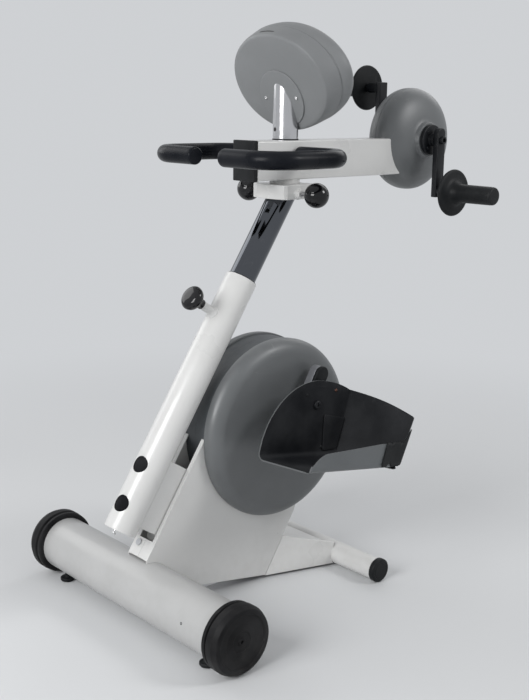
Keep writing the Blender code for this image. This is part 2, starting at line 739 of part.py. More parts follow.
def make_housing():
    """Two folded side covers: a side sheet with a front flange, wide at the foot."""
    wide = HOUSE_HALF - SHEET / 2 - GAP / 2
    tall = FLANGE_FOOT_TOP - FRONT_LOW_S - 0.001
    span = apex_along() - FRONT_LOW_S - 0.003
    narrow = FLANGE - SHEET / 2
    depth = FRONT_T + FOLD + SHEET / 2
    motor_at = (0.0, CRANK_Y + MOTOR_DY, CRANK_Z + MOTOR_DZ)
    for side, sign, turn in SIDES:
        cover = side_plate(house_outline(), SHEET)
        cover.data.transform(Matrix.Translation((sign * (HOUSE_HALF - SHEET / 2), 0.0, 0.0)))
        strip = block((narrow, SHEET, span),
                      (sign * (HOUSE_HALF - FLANGE + narrow / 2), depth, FRONT_LOW_S + 0.001 + span / 2))
        change(cover, put(strip, "base", on_column(0.0, 0.0), ALONG_COLUMN), "UNION")
        foot = block((wide - FOLD, SHEET - FOLD, tall),
                     (sign * (GAP / 2 + wide / 2), depth, FRONT_LOW_S + 0.0015 + tall / 2))
        change(cover, put(foot, "base", on_column(0.0, 0.0), ALONG_COLUMN), "UNION")
        change(cover, base_tube_cutter())
        hole = rod(BEARING_HOUSE_RADIUS + GAP, 0.0, 2 * HOUSE_HALF, MEDIUM)
        change(cover, put(hole, "base", (0.0, CRANK_Y, CRANK_Z), turn))
        if sign < 0:
            inlet_hole = rod(INLET_RADIUS + GAP, FRONT_T - 0.02, FRONT_T + 0.02)
            change(cover, put(inlet_hole, "base", on_column(INLET_S, 0.0, INLET_X), TO_COLUMN_REAR))
        if sign > 0:
            motor_hole = rod(SMALL_PULLEY_RADIUS + 0.004, 0.0, 2 * HOUSE_HALF)
            change(cover, put(motor_hole, "base", motor_at, turn))
        piece(cover, "side_cover_" + side, "white_paint", "base")

    collar = INLET_RADIUS + 0.002
    inlet = turned([(0.0, FRONT_T + 0.010), (INLET_RADIUS, FRONT_T + 0.010),
                    (INLET_RADIUS, FRONT_T - GAP), (collar, FRONT_T - GAP),
                    (collar, FRONT_T - 0.0025), (0.0, FRONT_T - 0.0025)], SMALL)
    at = on_column(INLET_S, 0.0, INLET_X)
    piece(inlet, "power_inlet", "key_grey", "base", at, TO_COLUMN_REAR)


def make_bracket():
    """Welded box between the column and the base, seated on both tubes and open
    towards the column and at the rear."""
    wall = BRACKET_WALL
    reach = BRACKET_REAR_Y
    floor = SPINE_Z + SPINE_HEIGHT / 2 + GAP
    low_rear = FRONT_T + SHEET + 0.010
    high_rear = FRONT_T + 0.035
    outline = [column_yz(BRACKET_LOW, 0.0), column_yz(BRACKET_HIGH, 0.0),
               column_yz(BRACKET_HIGH, high_rear), (reach, floor), (0.0, floor),
               column_yz(BRACKET_LOW, low_rear)]
    hollow = [column_yz(BRACKET_LOW + wall, 0.0), column_yz(BRACKET_HIGH - wall, 0.0),
              column_yz(BRACKET_HIGH - wall, 2 * high_rear), (2 * reach, floor + wall),
              (wall, floor + wall), column_yz(BRACKET_LOW + wall, low_rear + wall)]
    bracket = side_plate(outline, 2 * BRACKET_HALF)
    change(bracket, put(side_plate(hollow, 2 * (BRACKET_HALF - wall)), "base"))
    outside = rod(COLUMN_RADIUS + GAP, -2 * COLUMN_RADIUS, COLUMN_LENGTH, MEDIUM)
    change(bracket, put(outside, "base", on_column(0.0, 0.0), ALONG_COLUMN))
    change(bracket, base_tube_cutter())
    piece(bracket, "column_bracket", "white_paint", "base")


def make_rear_cover():
    """Flared cover from the housing's sloped rear edge to the rear tube: two side
    walls with a deck sunk between them, lofted along the machine."""
    slope = (HOUSE_REAR_TOP_Y - HOUSE_REAR_LOW_Y) / (HOUSE_REAR_TOP_Z - HOUSE_REAR_LOW_Z)
    rings = []
    steps = 5
    for i in range(steps + 1):
        k = i / steps
        half = HOUSE_HALF + (LEG_REAR_HALF - HOUSE_HALF) * k
        top = LEG_TOP_FRONT_Z + (LEG_TOP_REAR_Z - LEG_TOP_FRONT_Z) * k
        low = LEG_LOW_Z
        deck = top - LEG_DECK_DROP
        section = [(-half, low), (-half, top), (-half + LEG_WALL, top), (-half + LEG_WALL, deck),
                   (half - LEG_WALL, deck), (half - LEG_WALL, top), (half, top), (half, low),
                   (half - LEG_WALL, low), (half - LEG_WALL, deck - LEG_WALL),
                   (-half + LEG_WALL, deck - LEG_WALL), (-half + LEG_WALL, low)]
        ring = []
        for x, z in section:
            front = HOUSE_REAR_LOW_Y + (z - HOUSE_REAR_LOW_Z) * slope + GAP * 2
            ring.append((x, front + (REAR_Y - LEG_END - front) * k, z))
        rings.append(ring)
    cover = skin(rings)
    clear = rod(REAR_RADIUS + GAP, -REAR_HALF, REAR_HALF, MEDIUM)
    change(cover, put(clear, "base", (0.0, REAR_Y, CAP_RADIUS), ACROSS))
    piece(cover, "rear_leg_cover", "white_paint", "base")


def belt_loop(rise):
    """Outline of the belt in (y, z), a given height above the faces of its pulleys,
    which the flats of its arcs clear."""
    reach = math.hypot(MOTOR_DY, MOTOR_DZ)
    aim = math.atan2(MOTOR_DZ, MOTOR_DY)
    spread = math.acos((PULLEY_RADIUS - SMALL_PULLEY_RADIUS) / reach)
    wrap = 2 * (math.pi - spread)
    steps = 18
    small_steps = 7
    radius = (PULLEY_RADIUS + rise) / math.cos(wrap / steps / 2)
    small_radius = (SMALL_PULLEY_RADIUS + rise) / math.cos(spread / small_steps)
    start = aim + spread
    big = arc(CRANK_Y, CRANK_Z, radius, start, start + wrap, steps)
    small = arc(CRANK_Y + MOTOR_DY, CRANK_Z + MOTOR_DZ, small_radius, aim - spread, start, small_steps)
    return big + small


def make_leg_drive():
    """Shaft, pulleys, belt and motor of the leg unit."""
    centre = (0.0, CRANK_Y, CRANK_Z)
    tip = CRANK_IN + CRANK_THICK - 0.001
    shaft = turned([(0.0, tip), (SHAFT_RADIUS, tip), (SHAFT_RADIUS, -tip), (0.0, -tip)], SMALL)
    piece(shaft, "crank_shaft", "steel", "leg_crank", centre, ACROSS)

    half = PULLEY_WIDTH / 2
    rim = PULLEY_RADIUS - 0.008
    web = PULLEY_WEB / 2
    bore = SHAFT_RADIUS + GAP
    hub = SHAFT_RADIUS + 0.008
    hub_in = HOUSE_HALF + GAP - PULLEY_X
    pulley = turned([(bore, half), (hub, half), (hub, web), (rim, web), (rim, half),
                     (PULLEY_RADIUS, half), (PULLEY_RADIUS, -half), (hub, -half),
                     (hub, hub_in), (bore, hub_in)], MEDIUM, closed=True)
    piece(pulley, "leg_pulley", "cast_metal", "leg_crank", (PULLEY_X, CRANK_Y, CRANK_Z), ACROSS)

    motor_at = (0.0, CRANK_Y + MOTOR_DY, CRANK_Z + MOTOR_DZ)
    face = HOUSE_HALF - SHEET - GAP
    shaft_hole = MOTOR_SHAFT + GAP
    motor = turned([(0.0, 0.0), (shaft_hole, 0.0), (shaft_hole, face), (MOTOR_RADIUS, face),
                    (MOTOR_RADIUS, -face + 0.003), (0.0, -face + 0.003)], MEDIUM)
    piece(motor, "leg_motor", "cast_metal", "base", motor_at, ACROSS)

    top = PULLEY_X + half
    low = PULLEY_X - half
    rotor = turned([(0.0, top), (SMALL_PULLEY_RADIUS, top), (SMALL_PULLEY_RADIUS, low),
                    (MOTOR_SHAFT, low), (MOTOR_SHAFT, GAP), (0.0, GAP)], SMALL)
    piece(rotor, "motor_pulley", "steel", "motor_rotor", motor_at, ACROSS)

    hole = belt_loop(GAP)
    rim_line = belt_loop(GAP + BELT_THICK)
    belt = side_plate(rim_line, BELT_WIDTH, (hole,))
    belt.data.transform(Matrix.Translation((PULLEY_X, 0.0, 0.0)))
    piece(belt, "leg_belt", "belt_rubber", "base")


def make_disc_covers():
    """Round covers either side of the housing: flat face, rounded shoulder, rim band."""
    shoulder = [(DISC_FACE_RADIUS, DISC_FACE)]
    drop = DISC_FACE - DISC_SHOULDER_X
    width = DISC_RADIUS - DISC_FACE_RADIUS
    for i in range(1, 4):
        t = math.pi / 2 * i / 3
        shoulder.append((DISC_FACE_RADIUS + width * math.sin(t), DISC_SHOULDER_X + drop * math.cos(t)))
    inner = [(r - DISC_WALL, x - DISC_WALL) for r, x in reversed(shoulder)]
    ring_in = HOUSE_HALF + GAP
    band = DISC_RADIUS - DISC_STEP
    profile = [(DISC_HOLE, DISC_FACE), *shoulder, (band, ring_in), (band, GAP / 2), (band - DISC_WALL, GAP / 2),
               (band - DISC_WALL, ring_in + DISC_WALL), *inner, (DISC_HOLE, DISC_FACE - DISC_WALL)]
    for side, sign, turn in SIDES:
        cover = turned(profile, ROUND, closed=True)
        clear = side_plate(house_outline(), 2 * (HOUSE_HALF + GAP * 0.9))
        change(cover, put(clear, "base"))
        piece(cover, "disc_cover_" + side, "grey_cover", "base", (0.0, CRANK_Y, CRANK_Z), turn)


def crank_outline(angle, y, z, tail, reach, width):
    """A bar with round ends, in (y, z), from a tail behind its hub to its far end."""
    half = width / 2
    near = arc(0.0, tail, half, math.pi, 2 * math.pi, 7)
    far = arc(0.0, reach, half, 0.0, math.pi, 7)
    turn = []
    for u, v in near + far:
        turn.append((y + u * math.cos(angle) + v * math.sin(angle),
                     z - u * math.sin(angle) + v * math.cos(angle)))
    return turn


def make_leg_cranks():
    """Leg cranks with shaft bore and pin bore, and their pedal pins."""
    middle = CRANK_IN + CRANK_THICK / 2
    for side, sign, turn in SIDES:
        angle = CRANK_ANGLE if sign > 0 else CRANK_ANGLE + math.pi
        bar = side_plate(crank_outline(angle, CRANK_Y, CRANK_Z, 0.0, CRANK_END_RADIUS, CRANK_WIDTH),
                         CRANK_THICK)
        bar.data.transform(Matrix.Translation((sign * middle, 0.0, 0.0)))
        pin_y, pin_z = (CRANK_PIN_Y, CRANK_PIN_Z) if sign > 0 else (FAR_PIN_Y, FAR_PIN_Z)
        reach = CRANK_IN + CRANK_THICK + 0.01
        shaft_bore = rod(SHAFT_RADIUS + GAP, CRANK_IN - 0.01, reach)
        change(bar, put(shaft_bore, "leg_crank", (0.0, CRANK_Y, CRANK_Z), turn))
        pin_bore = rod(PEDAL_PIN_RADIUS + GAP, CRANK_IN - 0.01, reach)
        change(bar, put(pin_bore, "leg_crank", (0.0, pin_y, pin_z), turn))
        piece(bar, "crank_arm_" + side, "satin_metal", "leg_crank")

        start = CRANK_IN + 0.001
        collar_in = CRANK_IN + CRANK_THICK + GAP
        collar_out = SHELL_IN - GAP
        head = SHELL_IN + SHELL_WALL + GAP
        pin = turned([(0.0, head + PEDAL_HEAD), (PEDAL_HEAD_RADIUS, head + PEDAL_HEAD),
                      (PEDAL_HEAD_RADIUS, head), (PEDAL_PIN_RADIUS, head),
                      (PEDAL_PIN_RADIUS, collar_out), (PEDAL_COLLAR_RADIUS, collar_out),
                      (PEDAL_COLLAR_RADIUS, collar_in), (PEDAL_PIN_RADIUS, collar_in),
                      (PEDAL_PIN_RADIUS, start), (0.0, start)], SMALL)
        piece(pin, "pedal_pin_" + side, "steel", "leg_crank", (0.0, pin_y, pin_z), turn)


def rounded_corner(corner, back, ahead):
    """Points and inward directions of an arc of the heel radius between two walls."""
    turn = math.acos(max(-1.0, min(1.0, back.dot(ahead))))
    run = HEEL_CORNER / math.tan(turn / 2)
    centre = corner + (back + ahead).normalized() * (HEEL_CORNER / math.sin(turn / 2))
    start = corner + back * run
    end = corner + ahead * run
    made = []
    for i in range(HEEL_STEPS + 1):
        guess = start.lerp(end, i / HEEL_STEPS) - centre
        ray = guess.normalized()
        made.append((centre + ray * HEEL_CORNER, -ray))
    return made


def shell_path():
    """Plan of the foot shell's wall, from the inner toe round the heel to the outer
    toe: (x, e) points, with the inward direction at each. The sides hold equal
    numbers of points, so that each pair shares a point of the sole's middle line."""
    inner_toe = Vector((SHELL_IN, TOE_IN_E))
    inner_heel = Vector((SHELL_IN, HEEL_IN_E))
    outer_heel = Vector((SHELL_OUT, HEEL_OUT_E))
    outer_toe = Vector((SHELL_OUT, TOE_OUT_E))
    rear = (outer_heel - inner_heel).normalized()
    inward = Vector((rear.y, -rear.x))
    first = rounded_corner(inner_heel, Vector((0.0, -1.0)), rear)
    second = rounded_corner(outer_heel, -rear, Vector((0.0, -1.0)))
    side_in = [inner_toe.lerp(first[0][0], i / SHELL_STEPS) for i in range(SHELL_STEPS)]
    side_out = [second[-1][0].lerp(outer_toe, (i + 1) / SHELL_STEPS) for i in range(SHELL_STEPS)]
    path = [(p, Vector((1.0, 0.0))) for p in side_in]
    path += first
    path.append(((first[-1][0] + second[0][0]) / 2, inward))
    path += second
    path += [(p, Vector((-1.0, 0.0))) for p in side_out]
    return path


def rim_height(x, e):
    """Height of the shell's rim: a half oval fan on the inner side, a slope along
    the heel, and a low wall that falls away at the toe on the outer side."""
    if x < SHELL_IN + 0.001:
        reach = -TOE_IN_E if e < 0 else FAN_REAR_REACH
        lift = math.sqrt(max(0.0, 1 - (e / (reach + 0.0005)) ** 2))
        return TOE_RIM_H + (FAN_TOP_H - TOE_RIM_H) * lift
    if x > SHELL_OUT - 0.001:
        k = (e - TOE_OUT_E) / (STRAP_START_E - TOE_OUT_E)
        slope = SIDE_FRONT_H + (SIDE_REAR_H - SIDE_FRONT_H) * min(1.0, k)
        toe = max(0.0, 1 - k / 0.22)
        heel = max(0.0, 1 - (HEEL_OUT_E - e) / HEEL_DROP)
        return slope + (TOE_RIM_H - SIDE_FRONT_H) * toe ** 2 + (HEEL_RIM_H - SIDE_REAR_H) * heel
    k = (x - SHELL_IN) / (SHELL_OUT - SHELL_IN)
    start = rim_height(SHELL_IN, HEEL_IN_E - HEEL_CORNER * 0.5)
    return start + (HEEL_RIM_H - start) * k


def shell_point(sign, x, e, h, pin_y, pin_z):
    """A point of the foot shell's own frame as a design position."""
    y = pin_y + e * math.cos(FOOT_PITCH) + h * math.sin(FOOT_PITCH)
    z = pin_z - e * math.sin(FOOT_PITCH) + h * math.cos(FOOT_PITCH)
    return (sign * x, y, z)


def sheet_of(rows, flip):
    """An open surface through rows of points, where repeated points are merged."""
    mesh = bpy.data.meshes.new("sheet")
    shape = bmesh.new()
    grid = [[shape.verts.new(p) for p in row] for row in rows]
    for one, two in zip(grid[:-1], grid[1:]):
        for i in range(len(one) - 1):
            corners = [one[i], one[i + 1], two[i + 1], two[i]]
            places = []
            for v in corners:
                if all((v.co - w.co).length > 0.00001 for w in places):
                    places.append(v)
            if flip:
                places.reverse()
            shape.faces.new(places)
    bmesh.ops.remove_doubles(shape, verts=shape.verts, dist=0.00002)
    shape.to_mesh(mesh)
    shape.free()
    return link(mesh)


def make_foot_shells():
    """Foot shells with a high inner fan, a low outer wall and an open toe, and the
    black strap round each heel."""
    path = shell_path()
    count = len(path)
    for side, sign, turn in SIDES:
        pin_y, pin_z = (CRANK_PIN_Y, CRANK_PIN_Z) if sign > 0 else (FAR_PIN_Y, FAR_PIN_Z)

        def at(p, h):
            rake = HEEL_RAKE * (h - HEEL_RIM_H) * max(0.0, p.y) / HEEL_OUT_E
            return shell_point(sign, p.x, p.y + rake, h, pin_y, pin_z)

        floor = [p + inward * SOLE_CORNER for p, inward in path]
        rows = []
        for i, (p, inward) in enumerate(path):
            rim = rim_height(p.x, p.y)
            bend = SOLE_H + SOLE_CORNER
            k = min(i, count - 1 - i, SHELL_STEPS)
            middle = (floor[k] + floor[count - 1 - k]) / 2
            rim = max(rim, bend + 0.002) if 0 < i < count - 1 else max(rim, SOLE_H + 0.006)
            start = min(bend, rim - 0.002)
            rows.append([at(p, rim), at(p, (rim + start) / 2), at(p, start),
                         at(p + inward * SOLE_CORNER * 0.29, SOLE_H + (start - SOLE_H) * 0.29),
                         at(floor[i], SOLE_H), at(middle, SOLE_H)])
        shell = sheet_of(rows, sign > 0)
        wall = shell.modifiers.new("wall", "SOLIDIFY")
        wall.thickness = SHELL_WALL
        wall.offset = -1
        hole = rod(PEDAL_PIN_RADIUS + GAP, SHELL_IN - 0.01, SHELL_IN + 0.02)
        change(shell, put(hole, "foot_" + side, (0.0, pin_y, pin_z), turn))
        piece(shell, "foot_shell_" + side, "shell_grey", "foot_" + side)

        band = [(p, inward) for p, inward in path if p.x > SHELL_IN + 0.03 and p.y > 0]
        lead = Vector((SHELL_OUT, STRAP_START_E))
        band.append((lead, Vector((-1.0, 0.0))))
        band = [(p, w) for p, w in band if p.y >= STRAP_START_E]
        rows = []
        for p, inward in band:
            out = p - inward * STRAP_GAP
            rows.append([at(out, STRAP_TOP_H), at(out, STRAP_LOW_H)])
        strap = sheet_of(rows, sign > 0)
        thick = strap.modifiers.new("thickness", "SOLIDIFY")
        thick.thickness = STRAP_THICK
        thick.offset = 1
        piece(strap, "heel_strap_" + side, "black_plastic", "foot_" + side)


def make_mast():
    """Sliding mast cut flat under the head, the head block and its two lock pins."""
    foot = on_column(0.0, 0.0)
    low = COLUMN_LENGTH - MAST_INSERT
    high = (HEAD_LOW_Z - COLUMN_FOOT_Z) / math.cos(LEAN) + 2 * MAST_RADIUS
    mast = pipe(MAST_RADIUS, MAST_RADIUS - MAST_WALL, low, high, MEDIUM)
    size = 6 * MAST_RADIUS
    above = block((size, size, size), (0.0, SWIVEL_Y, HEAD_LOW_Z - GAP + size / 2))
    change(mast, put(above, "base"))
    piece(mast, "mast_tube", "chrome", "mast", foot, ALONG_COLUMN)

    rise = HEAD_BULGE
    curve_radius = (HEAD_HALF_X ** 2 + rise ** 2) / (2 * rise)
    spread = math.asin(HEAD_HALF_X / curve_radius)
    middle = SWIVEL_Y - HEAD_HALF_Y - rise + curve_radius
    front = arc(0.0, middle, curve_radius, -math.pi / 2 - spread, -math.pi / 2 + spread, 8)
    outline = [*front, (HEAD_HALF_X, SWIVEL_Y + HEAD_HALF_Y), (-HEAD_HALF_X, SWIVEL_Y + HEAD_HALF_Y)]
    head = plate(outline, HEAD_HEIGHT)
    head.data.transform(Matrix.Translation((0.0, 0.0, HEAD_LOW_Z + HEAD_HEIGHT / 2)))
    reach = HEAD_HALF_X + LOCK_BOSS_LENGTH
    lock_y = SWIVEL_Y - LOCK_OFFSET
    across_head = (0.0, lock_y, LOCK_Z)
    change(head, put(rod(LOCK_BOSS_RADIUS, -reach, reach), "base", across_head, ACROSS), "UNION")
    socket = rod(SPINDLE_RADIUS + GAP, HEAD_LOW_Z + SPINDLE_FLOOR, HEAD_LOW_Z + 0.1, MEDIUM)
    change(head, put(socket, "base", (0.0, SWIVEL_Y, 0.0)))
    pin_hole = rod(LOCK_PIN_RADIUS + GAP, -reach - 0.01, reach + 0.01)
    change(head, put(pin_hole, "base", across_head, ACROSS))
    piece(head, "head_block", "white_paint", "mast")

    for side, sign, turn in SIDES:
        points = [(0.0, LOCK_BALL_X + LOCK_BALL_RADIUS)]
        for i in range(1, 8):
            t = math.pi * i / 8
            points.append((LOCK_BALL_RADIUS * math.sin(t), LOCK_BALL_X + LOCK_BALL_RADIUS * math.cos(t)))
        neck = LOCK_BALL_X - math.sqrt(LOCK_BALL_RADIUS ** 2 - LOCK_PIN_RADIUS ** 2)
        points += [(LOCK_PIN_RADIUS, neck), (LOCK_PIN_RADIUS, SPINDLE_RADIUS + GAP),
                   (0.0, SPINDLE_RADIUS + GAP)]
        knob = turned(points, SMALL)
        piece(knob, "lock_knob_" + side, "gloss_black", "lock_" + side, (0.0, lock_y, LOCK_Z), turn)


def make_beam():
    """Box beam with its swivel spindle welded on, its end plate, and the holes for what
    it carries."""
    top = BEAM_LOW_Z + BEAM_HEIGHT
    low = HEAD_LOW_Z + HEAD_HEIGHT + GAP
    spindle = turned([(0.0, SPINDLE_TOP_Z), (SPINDLE_RADIUS, SPINDLE_TOP_Z),
                      (SPINDLE_RADIUS, BEAM_LOW_Z + 0.001), (SPINDLE_FLANGE, BEAM_LOW_Z + 0.001),
                      (SPINDLE_FLANGE, low), (SPINDLE_RADIUS, low),
                      (SPINDLE_RADIUS, HEAD_LOW_Z + SPINDLE_FLOOR + GAP),
                      (0.0, HEAD_LOW_Z + SPINDLE_FLOOR + GAP)], MEDIUM)

    length = ARM_Y - BEAM_FRONT_Y
    centre = (0.0, BEAM_FRONT_Y + length / 2, BEAM_LOW_Z + BEAM_HEIGHT / 2)
    beam = block((BEAM_WIDTH, length, BEAM_HEIGHT), centre)
    hollow = (BEAM_WIDTH - 2 * BEAM_WALL, length * 1.1, BEAM_HEIGHT - 2 * BEAM_WALL)
    change(beam, put(block(hollow, centre), "base"))
    stator = rod(STATOR_RADIUS + GAP, -BEAM_WIDTH, BEAM_WIDTH, ROUND)
    change(beam, put(stator, "base", (0.0, ARM_Y, ARM_Z), ACROSS))
    change(beam, put(spindle, "base", (0.0, SWIVEL_Y, 0.0)), "UNION")
    stem_hole = rod(STEM_PIN_RADIUS + GAP, top - 0.01, top + 0.01)
    change(beam, put(stem_hole, "base", (0.0, SWIVEL_Y, 0.0)))
    bar_hole = rod(BAR_RADIUS + GAP, -BEAM_WIDTH, BEAM_WIDTH)
    change(beam, put(bar_hole, "base", (0.0, BAR_Y, BAR_Z), ACROSS))
    piece(beam, "arm_beam", "white_paint", "beam")

    size = (BEAM_WIDTH, END_PLATE_THICK, BEAM_HEIGHT + 2 * END_PLATE_LIP)
    end = block(size, (0.0, BEAM_FRONT_Y - GAP - END_PLATE_THICK / 2, centre[2]))
    soften = end.modifiers.new("edges", "BEVEL")
    soften.width = 0.002
    soften.segments = 2
    piece(end, "beam_end_plate", "black_plastic", "beam")


def loop_points(sign, start_x, end_x):
    """Middle line of one hand loop, from the beam's side round to its open end."""
    inner = LOOP_HALF_X - LOOP_CORNER
    rear = arc(inner, BAR_Y - LOOP_CORNER, LOOP_CORNER, math.pi / 2, 0.0, 5)
    front = arc(inner, LOOP_FRONT_Y + LOOP_CORNER, LOOP_CORNER, 0.0, -math.pi / 2, 5)
    line = [(start_x, BAR_Y), *rear, *front, (end_x, LOOP_FRONT_Y)]
    return [(sign * x, y, BAR_Z) for x, y in line]


def make_handlebar():
    """Bar bent into two open hand loops, and the foam sleeve on each of them."""
    bar_end = LOOP_END_X + FOAM_TIP
    right = loop_points(-1, 0.0, bar_end)
    left = loop_points(1, 0.0, bar_end)
    bar = tube_along([*reversed(right), *left[1:]], BAR_RADIUS)
    piece(bar, "handlebar", "steel", "beam")

    start = BEAM_WIDTH / 2 + FOAM_FROM_BEAM
    for side, sign, _ in SIDES:
        foam = tube_along(loop_points(sign, start, LOOP_END_X), FOAM_RADIUS)
        core = tube_along(loop_points(sign, 0.0, bar_end - GAP), BAR_RADIUS + GAP)
        change(foam, put(core, "base"))
        piece(foam, "handle_foam_" + side, "foam_black", "beam")


def dome_curve(radius, half, from_radius, steps):
    """Points (r, x) of a flattened dome, from a radius out to its rim."""
    power = 1 / DOME_POWER
    start = math.asin((from_radius / radius) ** (DOME_POWER / 2))
    made = []
    for i in range(steps):
        t = start + (math.pi / 2 - start) * i / steps
        made.append((radius * math.sin(t) ** (2 * power), half * math.cos(t) ** (2 * power)))
    return [*made, (radius, 0.0)]


def make_arm_unit():
    """Domed covers, motor and shaft of the arm unit, its cranks and hand grips."""
    centre = (0.0, ARM_Y, ARM_Z)
    wall = DOME_WALL
    hole = ARM_SHAFT_RADIUS + GAP
    root = HUB_BOSS_RADIUS + 0.003
    outer = dome_curve(DOME_RADIUS, DOME_HALF, root, 5)
    inner = dome_curve(DOME_RADIUS - wall, DOME_HALF - wall, root - wall, 4)
    outer[-1] = (DOME_RADIUS, GAP / 2)
    inner[-1] = (DOME_RADIUS - wall, GAP / 2)
    profile = [(hole, HUB_BOSS_X), (HUB_BOSS_RADIUS, HUB_BOSS_X), *outer, *reversed(inner),
               (HUB_BOSS_RADIUS - wall, HUB_BOSS_X - wall), (hole, HUB_BOSS_X - wall)]
    length = ARM_Y - BEAM_FRONT_Y
    beam_size = (BEAM_WIDTH + 2 * GAP, length, BEAM_HEIGHT + 2 * GAP)
    beam_at = (0.0, BEAM_FRONT_Y + length / 2, BEAM_LOW_Z + BEAM_HEIGHT / 2)
    for side, sign, turn in SIDES:
        dome = turned(profile, ROUND, closed=True)
        change(dome, put(block(beam_size, beam_at), "base"))
        piece(dome, "arm_housing_" + side, "grey_cover", "beam", centre, turn)

    stator = pipe(STATOR_RADIUS, ROTOR_RADIUS + AIR_GAP, -STATOR_HALF, STATOR_HALF)
    piece(stator, "arm_motor", "cast_metal", "beam", centre, ACROSS)

    hub_in = HUB_BOSS_X + GAP
    arm_out = ARM_IN + ARM_THICK
    shaft = ARM_SHAFT_RADIUS
    half = [(0.0, arm_out + ARM_BOLT_HEAD), (ARM_BOLT_RADIUS, arm_out + ARM_BOLT_HEAD),
            (ARM_BOLT_RADIUS, arm_out + GAP), (shaft, arm_out + GAP), (shaft, ARM_IN - GAP),
            (ARM_NECK_RADIUS, ARM_IN - GAP), (ARM_NECK_RADIUS, hub_in + ARM_HUB_WIDTH),
            (ARM_HUB_RADIUS, hub_in + ARM_HUB_WIDTH), (ARM_HUB_RADIUS, hub_in), (shaft, hub_in),
            (shaft, ROTOR_HALF), (ROTOR_RADIUS, ROTOR_HALF), (ROTOR_RADIUS, 0.0)]
    mirrored = [(r, -x) for r, x in reversed(half[:-1])]
    piece(turned([*half[:-1], *mirrored], SMALL), "arm_shaft", "black_paint", "arm_crank", centre, ACROSS)

    for side, sign, turn in SIDES:
        angle = math.pi if sign > 0 else 0.0
        bar = side_plate(crank_outline(angle, ARM_Y, ARM_Z, -ARM_TAIL, ARM_CRANK_RADIUS, ARM_WIDTH),
                         ARM_THICK)
        bar.data.transform(Matrix.Translation((sign * (ARM_IN + ARM_THICK / 2), 0.0, 0.0)))
        grip_at = (0.0, ARM_Y, ARM_Z + math.cos(angle) * ARM_CRANK_RADIUS)
        pin = turned([(0.0, GRIP_PIN_END_X), (GRIP_PIN_RADIUS, GRIP_PIN_END_X),
                      (GRIP_PIN_RADIUS, GUARD_X - GAP), (GRIP_COLLAR_RADIUS, GUARD_X - GAP),
                      (GRIP_COLLAR_RADIUS, ARM_IN + 0.004), (0.0, ARM_IN + 0.004)], SMALL)
        change(bar, put(pin, "arm_crank", grip_at, turn), "UNION")
        bore = rod(ARM_SHAFT_RADIUS + GAP, ARM_IN - 0.01, arm_out + 0.01)
        change(bar, put(bore, "arm_crank", centre, turn))
        piece(bar, "arm_crank_" + side, "black_paint", "arm_crank")

        end = GRIP_END_X
        hollow = GRIP_PIN_RADIUS + GAP
        grip = turned([(0.0, end), (GRIP_RADIUS - 0.006, end), (GRIP_RADIUS - 0.0015, end - 0.0025),
                       (GRIP_RADIUS, end - 0.007), (GRIP_RADIUS - 0.002, GUARD_X + GUARD_THICK + 0.02),
                       (GRIP_RADIUS, GUARD_X + GUARD_THICK), (GUARD_RADIUS - 0.003, GUARD_X + GUARD_THICK),
                       (GUARD_RADIUS, GUARD_X + GUARD_THICK - 0.003), (GUARD_RADIUS, GUARD_X + 0.003),
                       (GUARD_RADIUS - 0.003, GUARD_X), (hollow, GUARD_X),
                       (hollow, GRIP_PIN_END_X + GAP), (0.0, GRIP_PIN_END_X + GAP)], SMALL + 4)
        piece(grip, "hand_grip_" + side, "black_plastic", "grip_" + side, grip_at, turn)


def oval(half_u, half_v, d, steps=ROUND):
    """An oval ring of the display's own frame."""
    turns = [2 * math.pi * i / steps for i in range(steps)]
    return [(half_u * math.cos(t), half_v * math.sin(t), d) for t in turns]


